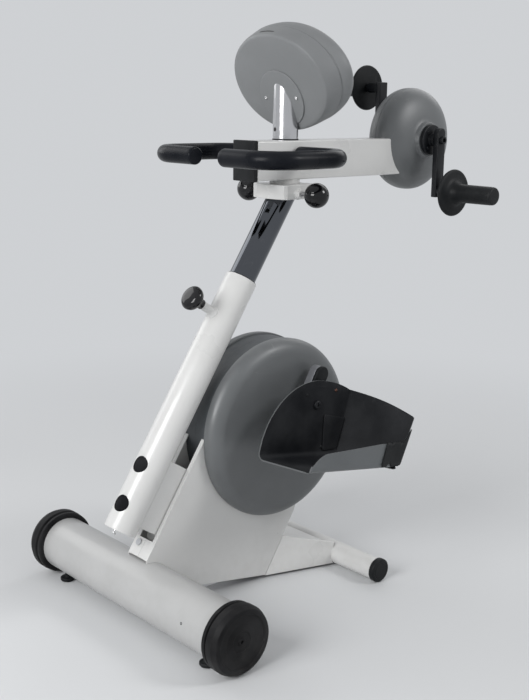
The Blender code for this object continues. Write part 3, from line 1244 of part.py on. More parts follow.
def make_display():
    """Stem cut to the tilted back of the display, the two shells, screen and keys."""
    origin = (0.0, DISPLAY_Y, DISPLAY_Z)
    top = BEAM_LOW_Z + BEAM_HEIGHT + GAP
    inner = STEM_RADIUS - STEM_WALL
    stem = turned([(0.0, top + 0.006), (inner, top + 0.006), (inner, DISPLAY_Z + 0.05),
                   (STEM_RADIUS, DISPLAY_Z + 0.05), (STEM_RADIUS, top), (STEM_PIN_RADIUS, top),
                   (STEM_PIN_RADIUS, top - STEM_PIN_DEPTH), (0.0, top - STEM_PIN_DEPTH)], MEDIUM)
    beyond = block((0.4, 0.4, 0.2), (0.0, 0.0, 0.1 - GAP))
    change(stem, put(beyond, "base", origin, DISPLAY_TURN))
    piece(stem, "display_stem", "white_paint", "display", (0.0, SWIVEL_Y, 0.0))

    wall = DISPLAY_WALL
    rear = skin([oval(BACK_HALF_U, BACK_HALF_V, 0.0),
                 oval(BACK_HALF_U + 0.010, BACK_HALF_V + 0.004, 0.006),
                 oval(SEAM_HALF_U, SEAM_HALF_V, SEAM_D),
                 oval(SEAM_HALF_U - wall, SEAM_HALF_V - wall, SEAM_D),
                 oval(BACK_HALF_U + 0.009 - wall, BACK_HALF_V + 0.003 - wall, 0.008),
                 oval(BACK_HALF_U - wall, BACK_HALF_V - wall, wall)])
    piece(rear, "display_rear_shell", "grey_cover", "display", origin, DISPLAY_TURN)

    outer = [oval(SEAM_HALF_U, SEAM_HALF_V, SEAM_D + GAP), oval(WIDE_HALF_U, WIDE_HALF_V, WIDE_D),
             oval(WIDE_HALF_U - 0.005, WIDE_HALF_V - 0.004, FRONT_D - 0.004),
             oval(FACE_HALF_U, FACE_HALF_V, FRONT_D)]
    inside = [oval(FACE_HALF_U, FACE_HALF_V, FRONT_D - wall),
              oval(WIDE_HALF_U - 0.0055 - wall, WIDE_HALF_V - 0.0045 - wall, FRONT_D - 0.004 - wall),
              oval(WIDE_HALF_U - wall, WIDE_HALF_V - wall, WIDE_D),
              oval(SEAM_HALF_U - wall, SEAM_HALF_V - wall, SEAM_D + GAP)]
    front = skin(list(reversed(outer)) + list(reversed(inside)))
    window = block((2 * SCREEN_HALF_U, 2 * SCREEN_HALF_V, 0.02), (0.0, SCREEN_V, FRONT_D))
    change(front, put(window, "base", origin, DISPLAY_TURN))
    for index in range(len(KEYS)):
        hole = rod(KEY_RADIUS + GAP, FRONT_D - 0.01, FRONT_D + 0.01)
        at = on_display(key_u(index), KEY_V, 0.0)
        change(front, put(hole, "base", at, DISPLAY_TURN))
    piece(front, "display_front_shell", "grey_cover", "display", origin, DISPLAY_TURN)

    size = (2 * (SCREEN_HALF_U - GAP), 2 * (SCREEN_HALF_V - GAP), SCREEN_THICK)
    screen = block(size, (0.0, SCREEN_V, FRONT_D - SCREEN_SUNK - SCREEN_THICK / 2))
    lip = block((size[0] + 0.008, size[1] + 0.008, 0.002),
                (0.0, SCREEN_V, FRONT_D - wall - GAP - 0.001))
    change(screen, put(lip, "base", origin, DISPLAY_TURN), "UNION")
    piece(screen, "screen", "screen_glass", "display", origin, DISPLAY_TURN)

    collar = FRONT_D - wall - GAP - KEY_TRAVEL
    for index, name in enumerate(KEYS):
        top = FRONT_D + KEY_PROUD
        key = turned([(0.0, top), (KEY_RADIUS - 0.001, top), (KEY_RADIUS, top - 0.001),
                      (KEY_RADIUS, collar), (KEY_FLANGE_RADIUS, collar),
                      (KEY_FLANGE_RADIUS, collar - KEY_FLANGE), (0.0, collar - KEY_FLANGE)], SMALL)
        piece(key, name, KEY_SLOTS[index], name, on_display(key_u(index), KEY_V, 0.0), DISPLAY_TURN)


add_bodies()
make_base()
make_feet()
make_wheels()
make_rear_tube()
make_spine()
make_column()
make_housing()
make_bracket()
make_rear_cover()
make_leg_drive()
make_disc_covers()
make_leg_cranks()
make_foot_shells()
make_mast()
make_beam()
make_handlebar()
make_arm_unit()
make_display()
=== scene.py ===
"""Looks of a leg and arm movement trainer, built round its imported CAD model.

Every surface is a function of two parameters on a grid, or a profile carried round an axis or
along a path, worked out with numpy. Lengths are metres. Design positions have y = 0 at the
wheel axle; place() moves them into the frame.
"""
import math

import bmesh
import bpy
import numpy as np
from mathutils import Matrix, Vector


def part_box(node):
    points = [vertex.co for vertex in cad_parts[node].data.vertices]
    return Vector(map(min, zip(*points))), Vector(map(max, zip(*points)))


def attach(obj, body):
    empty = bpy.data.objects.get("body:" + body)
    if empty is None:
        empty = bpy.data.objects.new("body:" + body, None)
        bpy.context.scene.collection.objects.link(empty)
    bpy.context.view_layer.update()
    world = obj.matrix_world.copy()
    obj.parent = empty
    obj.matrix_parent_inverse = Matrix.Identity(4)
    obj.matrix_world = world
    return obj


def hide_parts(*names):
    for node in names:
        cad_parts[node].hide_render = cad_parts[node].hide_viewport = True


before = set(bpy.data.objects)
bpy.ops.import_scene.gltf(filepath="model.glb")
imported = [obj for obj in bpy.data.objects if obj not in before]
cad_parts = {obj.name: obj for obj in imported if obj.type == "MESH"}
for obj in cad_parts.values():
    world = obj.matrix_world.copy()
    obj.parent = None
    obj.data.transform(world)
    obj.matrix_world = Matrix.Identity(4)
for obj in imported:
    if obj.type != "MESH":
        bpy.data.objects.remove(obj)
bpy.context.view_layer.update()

# The photograph's viewpoint
CAMERA_AT = (1.6442, -1.5577, 1.0104)
CAMERA_AZIMUTH = math.radians(47.9)
CAMERA_PITCH = math.radians(13.0)
CAMERA_ROLL = math.radians(0.76)
CAMERA_LENS = 55.9

# Room and lamps: name, place, watts and size of each lamp
BACKGROUND = (0.62, 0.635, 0.655, 1.0)
WORLD_LIGHT, WORLD_COLOUR = 0.40, (0.97, 0.98, 1.0, 1.0)
FLOOR_Z, FLOOR_RADII, FLOOR_FADE = -0.0005, (0.0, 1.0, 3.0, 14.0), (0.7, 2.3)
FLOOR_COLOUR = (0.66, 0.67, 0.68, 1.0)
LAMP_AIM = (0.0, 0.0, 0.55)
LAMPS = (("key_lamp", (0.4, -2.9, 1.7), 66, 1.5), ("side_lamp", (2.3, 1.4, 2.3), 30, 0.9),
         ("far_lamp", (-2.4, -0.8, 1.8), 14, 1.6), ("back_lamp", (-0.6, 2.6, 2.6), 16, 2.0))

# Directions, the sides with the sign of their x, and the gap kept between neighbours
X_AXIS, Y_AXIS, Z_AXIS = np.eye(3)
SIDES = (("left", 1), ("right", -1))
FIT_GAP = 0.0003

# Floor frame
AXLE_LOW, AXLE_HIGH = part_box("wheel_axle")
AXLE_Y = (AXLE_LOW.y + AXLE_HIGH.y) / 2
AXLE_Z = (AXLE_LOW.z + AXLE_HIGH.z) / 2
TUBE_LOW, TUBE_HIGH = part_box("base_cross_tube")
TUBE_RADIUS = (TUBE_HIGH.z - TUBE_LOW.z) / 2
TUBE_HALF = TUBE_HIGH.x
TUBE_WALL = 0.003
WHEEL_LOW, WHEEL_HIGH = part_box("wheel_left")
WHEEL_HALF = (WHEEL_HIGH.x - WHEEL_LOW.x) / 2
WHEEL_X = (WHEEL_HIGH.x + WHEEL_LOW.x) / 2
WHEEL_RADIUS = (WHEEL_HIGH.z - WHEEL_LOW.z) / 2
PAD_X, PAD_Y, PAD_RADIUS, PAD_HEIGHT = 0.2375, -0.020, 0.015, 0.008
PAD_STEM, PAD_TOP = 0.005, 0.026
STOP_X, STOP_LIFT = 0.2033, math.radians(12.5)
REAR_Y, REAR_Z, REAR_RADIUS, REAR_WALL, REAR_HALF = 0.484, 0.026, 0.024, 0.0025, 0.1942
CAP_END, CAP_RADIUS = 0.2065, 0.026
HOUSE_HALF, HOUSE_REAR, HOUSE_REAR_SLOPE = 0.031, (0.308, 0.008), 0.083 / 0.130
LEG_REAR_HALF, LEG_TOP_FRONT, LEG_TOP_REAR, LEG_LOW_Z = 0.080, 0.085, 0.057, 0.006
LEG_DECK_DROP, LEG_WALL, LEG_END, LEG_SEAM = 0.008, 0.0025, 0.016, 0.0016
SHEET_EDGE = 0.0010

# Column and mast
LEAN = math.radians(33.5)
ALONG = np.array([0.0, math.sin(LEAN), math.cos(LEAN)])
BEHIND = np.array([0.0, math.cos(LEAN), -math.sin(LEAN)])
COLUMN_FOOT = np.array([0.0, -0.046, 0.193])
COLUMN_LENGTH, COLUMN_RADIUS, COLUMN_WALL = 0.5545, 0.033, 0.003
PLUG_ALONG = {"low": 0.050, "high": 0.132}
PLUG_RADIUS, PLUG_TURN = 0.0165, math.radians(10.0)
KNOB_ALONG, KNOB_REACH, KNOB_LENGTH, KNOB_STEM = 0.464, 0.0633, 0.040, 0.0047
BOSS_RADIUS = 0.009
MAST_RADIUS, MAST_WALL, MAST_INSERT = 0.0276, 0.0025, 0.2645
BUSH_LIP = 0.0014

# Leg unit. A foot shell's own directions are x outwards, e backwards and h upwards
CRANK_Y, CRANK_Z = 0.326, 0.340
DISC_RADIUS, DISC_FACE_RADIUS, DISC_FACE, DISC_SHOULDER_X = 0.190, 0.160, 0.065, 0.040
DISC_STEP, DISC_HOLE, DISC_WALL = 0.004, 0.022, 0.0025
BAND_IN = 0.0313
SHAFT_RADIUS = 0.010
CRANK_IN, CRANK_THICK, CRANK_WIDTH, CRANK_FACE = 0.081, 0.026, 0.034, 0.008
CRANK_END_RADIUS, CRANK_PIN_RADIUS, CRANK_ANGLE = 0.134, 0.070, math.radians(30.0)
FOOT_PITCH = math.radians(9.5)
SHELL_IN, SHELL_OUT, SHELL_WALL = 0.120, 0.245, 0.003
SOLE_H, SOLE_CORNER = -0.110, 0.014
TOE_IN_E, TOE_OUT_E, HEEL_IN_E, HEEL_OUT_E = -0.142, -0.120, 0.092, 0.177
HEEL_CORNER, HEEL_RAKE, HEEL_RIM_H, HEEL_DROP = 0.006, 0.30, -0.006, 0.020
HEEL_BULGE, TOE_SWEEP = 0.006, 0.22
FAN_TOP_H, FAN_REAR_REACH = 0.050, 0.183
SIDE_REAR_H, SIDE_FRONT_H, TOE_RIM_H = -0.056, -0.074, -0.104
STRAP_E, STRAP_TOP_H, STRAP_LOW_H, STRAP_OUT = 0.100, -0.053, -0.104, 0.0011
STRAP_START, STRAP_THICK, STRAP_NOTCH, STRAP_STEP = 0.033, 0.0025, 0.004, 0.006
SIDE_POINTS, HEEL_POINTS = 71, 12

# Head, beam and handles
SWIVEL_Y = 0.375
HEAD_LOW_Z, HEAD_HIGH_Z = 0.8137, 0.843
HEAD_HALF_X, HEAD_HALF_Y, HEAD_BULGE = 0.050, 0.043, 0.008
LOCK_Y, LOCK_Z, LOCK_X, LOCK_RADIUS = 0.367, 0.8252, 0.102, 0.025
LOCK_NECK, LOCK_PIN_RADIUS, LOCK_PIN_X = 0.0085, 0.005, 0.0203
BEAM_LOW_Z, BEAM_HEIGHT, BEAM_HALF = 0.852, 0.078, 0.032
BEAM_FRONT_Y, BEAM_REAR_Y, BEAM_CORNER = 0.273, 0.735, 0.0035
BEAM_TOP_Z = BEAM_LOW_Z + BEAM_HEIGHT
END_THICK, END_LIP = 0.010, 0.001
BAR_Z, BAR_Y, BAR_RADIUS, FOAM_RADIUS = 0.901, 0.380, 0.011, 0.0175
LOOP_FRONT_Y, LOOP_HALF_X, LOOP_END_X, LOOP_CORNER = 0.177, 0.180, 0.042, 0.060
FOAM_TIP, FOAM_START_X = 0.010, 0.037

# Arm unit
ARM_Y, ARM_Z = 0.757, 0.927
DOME_RADIUS, DOME_HALF, DOME_POWER = 0.112, 0.052, 2.45
DOME_GAP, DOME_BORE, DOME_WALL = 0.0004, 0.009, 0.0025
HUB_BOSS_RADIUS, HUB_BOSS_X, HUB_RADIUS, HUB_THICK = 0.040, 0.060, 0.033, 0.0095
HUB_SCREWS, HUB_SCREW_CIRCLE = 4, 0.0235
ARM_IN, ARM_THICK, ARM_WIDTH, ARM_RADIUS, ARM_TAIL = 0.081, 0.014, 0.025, 0.112, 0.014
GUARD_X, GUARD_THICK, GUARD_RADIUS, GUARD_ROOT = 0.130, 0.008, 0.051, 0.033
GRIP_RADIUS, GRIP_END_X = 0.020, 0.245

# Display. Its own directions are u across, v down and d out of the face
TILT = math.radians(24.8)
DISPLAY_AT = np.array([0.0, 0.3526, 1.041])
DOWN_FACE = np.array([0.0, math.sin(TILT), -math.cos(TILT)])
OUT_OF_FACE = np.array([0.0, math.cos(TILT), math.sin(TILT)])
BACK_U, BACK_V, SEAM_U, SEAM_V, SEAM_D = 0.121, 0.0986, 0.1405, 0.105, 0.036
WIDE_U, WIDE_V, WIDE_D, FACE_U, FACE_V, FACE_D = 0.147, 0.103, 0.058, 0.128, 0.088, 0.072
STRIP_D, STRIP_INSET = 0.0016, 0.0030
SCREEN_U, SCREEN_V, SCREEN_MIDDLE, BEZEL_WIDTH = 0.060, 0.044, -0.016, 0.011
SLOT_HALF, SLOT_RADIUS, SLOT_D = 0.022, 0.0011, 0.0115
STEM_RADIUS, STEM_WALL = 0.026, 0.003
SET_SCREW_TURN, SET_SCREW_Z = math.radians(-99.0), 0.9512
MOUNT_RADIUS, MOUNT_THICK, MOUNT_V, MOUNT_SCREW_U = 0.059, 0.0032, 0.0306, 0.0445
KEY_RADIUS, KEY_PROUD, KEY_V, KEY_PITCH = 0.0085, 0.0035, 0.052, 0.034
MARK_BAR = (0.0036, 0.0008)


def place(x, y, z):
    """Design positions in the frame, of numbers or arrays of them."""
    return np.stack(np.broadcast_arrays(x, y + AXLE_Y, z), -1)


def on_column(along, behind=0.0, x=0.0):
    """Frame positions by their distances along the column, behind its axis and across."""
    return (place(*COLUMN_FOOT) + np.multiply.outer(along, ALONG)
            + np.multiply.outer(behind, BEHIND) + np.multiply.outer(x, X_AXIS))


def on_display(u, v, d):
    """Frame positions by their distances across, down and out of the display's face."""
    return (place(*DISPLAY_AT) + np.multiply.outer(u, X_AXIS)
            + np.multiply.outer(v, DOWN_FACE) + np.multiply.outer(d, OUT_OF_FACE))


def unit(vector):
    """The vector at length 1, along its last axis."""
    return vector / np.linalg.norm(vector, axis=-1, keepdims=True)


def basis(axis):
    """Two directions square to an axis, so that u, v and the axis are right-handed."""
    w = unit(np.asarray(axis, float))
    guide = Z_AXIS if abs(w[2]) < 0.9 else Y_AXIS
    u = unit(np.cross(guide, w))
    return u, np.cross(w, u), w


def round_turn(steps):
    """Angles once round, up to the step before the first one again."""
    return np.linspace(0, 2 * math.pi, steps, endpoint=False)


# Shapes

def fillets(corners, closed=False, steps=6):
    """Line through (x, y, radius) corners. A corner with a radius becomes the arc that
    touches both of its sides: centre + (sin((1-k)a) s + sin(ka) e) / sin(a)."""
    points = np.array([corner[:2] for corner in corners], float)
    k = np.linspace(0, 1, steps + 1)[:, None]
    made = []
    for i, corner in enumerate(corners):
        here = points[i]
        radius = corner[2] if len(corner) > 2 else 0.0
        if radius == 0 or (not closed and i in (0, len(corners) - 1)):
            made.append(here[None])
            continue
        back = unit(points[i - 1] - here)
        ahead = unit(points[(i + 1) % len(points)] - here)
        half = math.acos(np.clip(back @ ahead, -1, 1)) / 2
        centre = here + unit(back + ahead) * radius / math.sin(half)
        start = here + back * radius / math.tan(half) - centre
        end = here + ahead * radius / math.tan(half) - centre
        angle = math.pi - 2 * half
        made.append(centre + (np.sin((1 - k) * angle) * start
                              + np.sin(k * angle) * end) / math.sin(angle))
    return np.vstack(made)


def rounded_box(half_x, half_y, radius, x=0.0, y=0.0):
    """Closed outline of a rectangle with round corners."""
    return fillets([(x + half_x, y - half_y, radius), (x + half_x, y + half_y, radius),
                    (x - half_x, y + half_y, radius), (x - half_x, y - half_y, radius)],
                   closed=True)


def ring(centre, radius, first, last, steps):
    """Arc of (x, y) points round a centre, angles in degrees."""
    turn = np.radians(np.linspace(first, last, steps))
    return np.stack([centre[0] + radius * np.cos(turn), centre[1] + radius * np.sin(turn)], -1)


def spline(keys, steps=8):
    """Smooth line through key points of any dimension: the cubic of each span has the
    slopes (next - last) / 2 at its ends."""
    keys = np.asarray(keys, float)
    padded = np.vstack([2 * keys[0] - keys[1], keys, 2 * keys[-1] - keys[-2]])
    k = np.linspace(0, 1, steps, endpoint=False)[:, None]
    spans = []
    for a, b, c, d in zip(padded, padded[1:], padded[2:], padded[3:]):
        spans.append(b + 0.5 * k * (c - a + k * (2 * a - 5 * b + 4 * c - d
                                                 + k * (3 * b - a - 3 * c + d))))
    return np.vstack([*spans, keys[-1:]])


def surface(name, grid, wrap_rows=False, wrap_cols=True, caps=False, outward=True, sharp=38):
    """Mesh through a grid of points (rows, columns, 3). Rows and columns may close on
    themselves, and the first and last row may be capped. Doubled points are merged."""
    rows, cols = grid.shape[:2]
    index = np.arange(rows * cols).reshape(rows, cols)
    ends = [index[0].tolist(), index[-1][::-1].tolist()] if caps else []
    if wrap_rows:
        index = np.vstack([index, index[:1]])
    if wrap_cols:
        index = np.hstack([index, index[:, :1]])
    quads = np.stack([index[:-1, :-1], index[:-1, 1:], index[1:, 1:], index[1:, :-1]], -1)
    mesh = bpy.data.meshes.new(name)
    mesh.from_pydata(grid.reshape(-1, 3).tolist(), [], quads.reshape(-1, 4).tolist() + ends)
    shape = bmesh.new()
    shape.from_mesh(mesh)
    bmesh.ops.remove_doubles(shape, verts=shape.verts, dist=1e-6)
    bmesh.ops.dissolve_degenerate(shape, edges=shape.edges, dist=1e-7)
    if outward:
        bmesh.ops.recalc_face_normals(shape, faces=shape.faces)
    shape.to_mesh(mesh)
    shape.free()
    return smoothed(mesh, name, sharp)


def smoothed(mesh, name, sharp=38):
    """Object of a mesh with smooth faces and edges kept sharp past an angle in degrees."""
    mesh.shade_smooth()
    mesh.set_sharp_from_angle(angle=math.radians(sharp))
    made = bpy.data.objects.new(name, mesh)
    bpy.context.scene.collection.objects.link(made)
    return made


def lathe(name, profile, centre, axis, steps=96, closed=False):
    """Surface of revolution: centre + r (u cos t + v sin t) + a w for each (r, a)."""
    profile = np.asarray(profile, float)
    u, v, w = basis(axis)
    turn = round_turn(steps)[:, None]
    around = np.cos(turn) * u + np.sin(turn) * v
    grid = centre + profile[:, None, :1] * around + profile[:, None, 1:] * w
    return surface(name, grid, wrap_rows=closed)


def tube(name, outer, wall, low, high, centre, axis, edge=0.0006, steps=96):
    """Hollow tube from low to high along an axis, with rounded rims."""
    inner = outer - wall
    corners = [(outer, low, edge), (outer, high, edge), (inner, high, edge), (inner, low, edge)]
    return lathe(name, fillets(corners, closed=True, steps=3), centre, axis, steps, closed=True)


def slab(name, outline, low, high, edge, place_at, u, v, w, steps=3):
    """Prism over a closed outline with rounded rims. Rings of the outline move inwards
    by edge (1 - cos a) while they rise by edge sin a."""
    outline = np.asarray(outline, float)
    ahead = np.roll(outline, -1, 0) - outline
    normal = unit(np.stack([ahead[:, 1], -ahead[:, 0]], -1))
    corner = unit(normal + np.roll(normal, 1, 0))
    miter = 1 / np.maximum(0.4, (corner * normal).sum(-1, keepdims=True))
    area = (outline[:, 0] * np.roll(outline[:, 1], -1)
            - np.roll(outline[:, 0], -1) * outline[:, 1]).sum()
    corner = corner * miter * (1 if area > 0 else -1)
    bend = np.linspace(0, math.pi / 2, steps + 1)
    inset = np.concatenate([edge * (1 - np.sin(bend)), edge * (1 - np.cos(bend))])
    height = np.concatenate([low + edge * (1 - np.cos(bend)), high - edge * (1 - np.sin(bend))])
    flat = outline[None] - inset[:, None, None] * corner[None]
    grid = place_at + flat[..., :1] * u + flat[..., 1:] * v + height[:, None, None] * w
    return surface(name, grid, caps=True)


def sweep(name, path, radii, steps=40, square_to=Z_AXIS):
    """Round tube along a path in the plane square to a direction: p + r (n cos t + b sin t)."""
    path = np.asarray(path, float)
    ahead = unit(np.gradient(path, axis=0))
    side = unit(np.cross(ahead, square_to))
    up = np.cross(side, ahead)
    turn = round_turn(steps)[:, None]
    around = side[:, None] * np.cos(turn) + up[:, None] * np.sin(turn)
    return surface(name, path[:, None] + np.asarray(radii)[:, None, None] * around, caps=True)


def rounded_ends(path, radius, tip, steps=5):
    """Path and radii of a tube whose ends close in a quarter round: the radius is
    r - tip (1 - sin a) where the path has moved in by tip (1 - cos a)."""
    path = np.asarray(path, float)
    bend = np.linspace(0, math.pi / 2, steps + 1)
    reach = tip * (1 - np.cos(bend))[:, None]
    close = radius - tip * (1 - np.sin(bend))
    start = path[0] + unit(path[1] - path[0]) * reach
    end = path[-1] + unit(path[-2] - path[-1]) * reach
    return (np.vstack([start, path[1:-1], end[::-1]]),
            np.concatenate([close, np.full(len(path) - 2, radius), close[::-1]]))


def round_edges(piece, width, segments, angle):
    """Bevel on the edges past an angle in degrees."""
    rounding = piece.modifiers.new("rounded_edges", "BEVEL")
    rounding.width = width
    rounding.segments = segments
    rounding.limit_method = "ANGLE"
    rounding.angle_limit = math.radians(angle)
    return rounding


def thicken(piece, thickness, offset):
    """Wall to one side of a sheet."""
    wall = piece.modifiers.new("wall", "SOLIDIFY")
    wall.thickness = thickness
    wall.offset = offset
    return wall


def finish_of_copy(node, name):
    """A CAD node's shape as a new piece: doubles merged, flat faces joined, edges rounded."""
    shape = bmesh.new()
    shape.from_mesh(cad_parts[node].data)
    bmesh.ops.remove_doubles(shape, verts=shape.verts, dist=1e-6)
    bmesh.ops.dissolve_limit(shape, angle_limit=math.radians(1.0), use_dissolve_boundaries=False,
                             verts=shape.verts, edges=shape.edges)
    mesh = bpy.data.meshes.new(name)
    shape.to_mesh(mesh)
    shape.free()
    made = smoothed(mesh, name, 32)
    round_edges(made, SHEET_EDGE, 3, 32).harden_normals = True
    return made


# Finishes

def feed(tree, socket, value):
    """Links an output to an input socket, or gives the input its own value."""
    if isinstance(value, bpy.types.NodeSocket):
        tree.links.new(value, socket)
    else:
        socket.default_value = value


def add(tree, kind, settings=None, **values):
    """A shader node with its settings, and its sockets fed by name."""
    made = tree.nodes.new(kind)
    for key, value in (settings or {}).items():
        setattr(made, key, value)
    for key, value in values.items():
        feed(tree, made.inputs[key.replace("_", " ")], value)
    return made


def calculate(tree, operation, first, second=None, clamp=False):
    """Math node of sockets or numbers; gives its output socket."""
    made = add(tree, "ShaderNodeMath", {"operation": operation, "use_clamp": clamp})
    feed(tree, made.inputs[0], first)
    if second is not None:
        feed(tree, made.inputs[1], second)
    return made.outputs[0]


def times(tree, first, second, clamp=False):
    """Product of two sockets or numbers."""
    return calculate(tree, "MULTIPLY", first, second, clamp)


def object_place(tree):
    """Object coordinates."""
    return tree.nodes.new("ShaderNodeTexCoord").outputs["Object"]


def spread(tree, value, low, high, to_low=0.0, to_high=1.0):
    """Maps a socket smoothly from low..high to another range."""
    made = add(tree, "ShaderNodeMapRange", {"interpolation_type": "SMOOTHSTEP"}, Value=value,
               From_Min=low, From_Max=high, To_Min=to_low, To_Max=to_high)
    return made.outputs["Result"]


def noise(tree, scale, detail=3.0, stretch=(1.0, 1.0, 1.0)):
    """Noise over object coordinates, stretched along the axes."""
    mapping = add(tree, "ShaderNodeMapping", Vector=object_place(tree), Scale=stretch)
    made = add(tree, "ShaderNodeTexNoise", Vector=mapping.outputs["Vector"], Scale=scale,
               Detail=detail)
    return made.outputs["Fac"]


def new_group(name, inputs, outputs):
    """Node group with named number sockets; gives the tree and its two end nodes."""
    tree = bpy.data.node_groups.new(name, "ShaderNodeTree")
    for socket, value in inputs.items():
        tree.interface.new_socket(socket, in_out="INPUT", socket_type="NodeSocketFloat")
        tree.interface.items_tree[socket].default_value = value
    for socket in outputs:
        tree.interface.new_socket(socket, in_out="OUTPUT", socket_type="NodeSocketFloat")
    return tree, tree.nodes.new("NodeGroupInput"), tree.nodes.new("NodeGroupOutput")


def make_grain_group():
    """Fine moulded or sprayed grain, with broad patches that vary tone and gloss."""
    tree, given, out = new_group("surface_grain", {"Scale": 900.0, "Patch Scale": 9.0},
                                 ("Height", "Patches"))
    tree.links.new(noise(tree, given.outputs["Scale"], 2.0), out.inputs["Height"])
    patches = noise(tree, given.outputs["Patch Scale"], 4.0)
    tree.links.new(spread(tree, patches, 0.3, 0.7), out.inputs["Patches"])
    return tree


def make_wear_and_highlight_group():
    """Edge tone, wear on most finishes and a painted highlight on some: where the rounded
    normal leaves the true one, broken by noise.
    """
    tree, given, out = new_group("edge_wear_and_highlight", {"Amount": 0.5}, ("Mask",))
    rounded = add(tree, "ShaderNodeBevel", {"samples": 4}, Radius=0.0012)
    true = tree.nodes.new("ShaderNodeNewGeometry")
    match = add(tree, "ShaderNodeVectorMath", {"operation": "DOT_PRODUCT"})
    tree.links.new(rounded.outputs["Normal"], match.inputs[0])
    tree.links.new(true.outputs["Normal"], match.inputs[1])
    edge = spread(tree, match.outputs["Value"], 0.999, 0.93)
    broken = spread(tree, noise(tree, 70.0, 5.0), 0.5, 0.68)
    mask = times(tree, times(tree, edge, broken), given.outputs["Amount"], True)
    tree.links.new(mask, out.inputs["Mask"])
    return tree


def make_dust_group():
    """Dust on faces that look up, and a film of dirt near the floor."""
    tree, given, out = new_group("settled_dust", {"Dust": 0.2, "Dirt": 0.2}, ("Mask", "Film"))
    geometry = tree.nodes.new("ShaderNodeNewGeometry")
    facing = add(tree, "ShaderNodeSeparateXYZ", Vector=geometry.outputs["Normal"])
    height = add(tree, "ShaderNodeSeparateXYZ", Vector=object_place(tree))
    upward = spread(tree, facing.outputs["Z"], 0.35, 1.0)
    low = spread(tree, height.outputs["Z"], 0.16, 0.0)
    cloudy = spread(tree, noise(tree, 55.0, 8.0), 0.30, 0.80)
    for where, amount, mask in ((upward, "Dust", "Mask"), (low, "Dirt", "Film")):
        tree.links.new(times(tree, times(tree, where, cloudy), given.outputs[amount], True),
                       out.inputs[mask])
    return tree


def make_scratch_group():
    """Hairline scratches: thin crests of two noises drawn out along crossing directions."""
    tree, given, out = new_group("hair_scratches", {"Scale": 60.0}, ("Mask",))
    crests = []
    for stretch in ((1.0, 0.06, 0.5), (0.3, 1.0, 0.05)):
        raw = noise(tree, given.outputs["Scale"], 1.0, stretch)
        from_middle = calculate(tree, "ABSOLUTE", calculate(tree, "SUBTRACT", raw, 0.5))
        crests.append(spread(tree, from_middle, 0.006, 0.0))
    gate = spread(tree, noise(tree, 14.0, 2.0), 0.56, 0.66)
    tree.links.new(times(tree, calculate(tree, "MAXIMUM", *crests), gate), out.inputs["Mask"])
    return tree


GRAIN, WEAR_AND_HIGHLIGHT, DUST, SCRATCHES = (make_grain_group(), make_wear_and_highlight_group(), make_dust_group(),
                                make_scratch_group())
DUST_COLOUR, DIRT_COLOUR = (0.46, 0.45, 0.43), (0.22, 0.20, 0.17)


def group(tree, source, **values):
    """A placed node group with its own values."""
    return add(tree, "ShaderNodeGroup", {"node_tree": source}, **values)


def tint(tree, mask, below, above):
    """Mixes two colours, given as sockets or values, by a mask socket. The Mix node's
    inputs 6 and 7 and its output 2 are the ones for colours."""
    made = add(tree, "ShaderNodeMix", {"data_type": "RGBA"}, Factor=mask)
    for index, value in ((6, below), (7, above)):
        feed(tree, made.inputs[index], (*value, 1.0) if isinstance(value, tuple) else value)
    return made.outputs[2]


def finish(name, colour, rough, metal=0.0, grain=900.0, relief=0.05, depth=0.0002, patch=0.05,
           coat=0.0, coat_rough=0.08, edge_wear_and_light=0.0, edge_wear_and_light_tone=(0.5, 0.5, 0.5), dust=0.1, dirt=0.0,
           scratches=0.15, brushed=None, specular=0.5):
    """Principled material: patchy tone and gloss, grain relief, edges toned by wear (on the white
    paint and the wheel rubber a painted edge highlight instead), scratches, settled dust and,
    on brushed metal, fine lines along one axis."""
    made = bpy.data.materials.new(name)
    made.use_nodes = True
    tree = made.node_tree
    shader = tree.nodes["Principled BSDF"]
    for socket, value in (("Metallic", metal), ("Coat Weight", coat),
                          ("Coat Roughness", coat_rough), ("Specular IOR Level", specular)):
        shader.inputs[socket].default_value = value
    base = group(tree, GRAIN, Scale=grain)
    settled = group(tree, DUST, Dust=dust, Dirt=dirt)
    hair = group(tree, SCRATCHES)
    light = tuple(min(1.0, c * (1 + patch) + 0.1 * patch) for c in colour)
    dark = tuple(c * (1 - patch) for c in colour)
    shade = tint(tree, base.outputs["Patches"], dark, light)
    marks = times(tree, hair.outputs["Mask"], scratches)
    shade = tint(tree, marks, shade, tuple(0.5 * c + 0.2 for c in colour))
    shade = tint(tree, settled.outputs["Mask"], shade, DUST_COLOUR)
    shade = tint(tree, settled.outputs["Film"], shade, DIRT_COLOUR)
    if edge_wear_and_light:
        shade = tint(tree, group(tree, WEAR_AND_HIGHLIGHT, Amount=edge_wear_and_light).outputs["Mask"], shade, edge_wear_and_light_tone)
    tree.links.new(shade, shader.inputs["Base Color"])
    gloss = spread(tree, base.outputs["Patches"], 0.0, 1.0, rough * 0.9, rough * 1.12)
    gloss = calculate(tree, "ADD", gloss, times(tree, settled.outputs["Mask"], 0.5))
    gloss = calculate(tree, "ADD", gloss, times(tree, marks, 0.25), True)
    tree.links.new(gloss, shader.inputs["Roughness"])
    height = noise(tree, 260.0, 2.0, brushed) if brushed else base.outputs["Height"]
    bump = add(tree, "ShaderNodeBump", Strength=relief, Distance=depth, Height=height)
    tree.links.new(bump.outputs["Normal"], shader.inputs["Normal"])
    return made
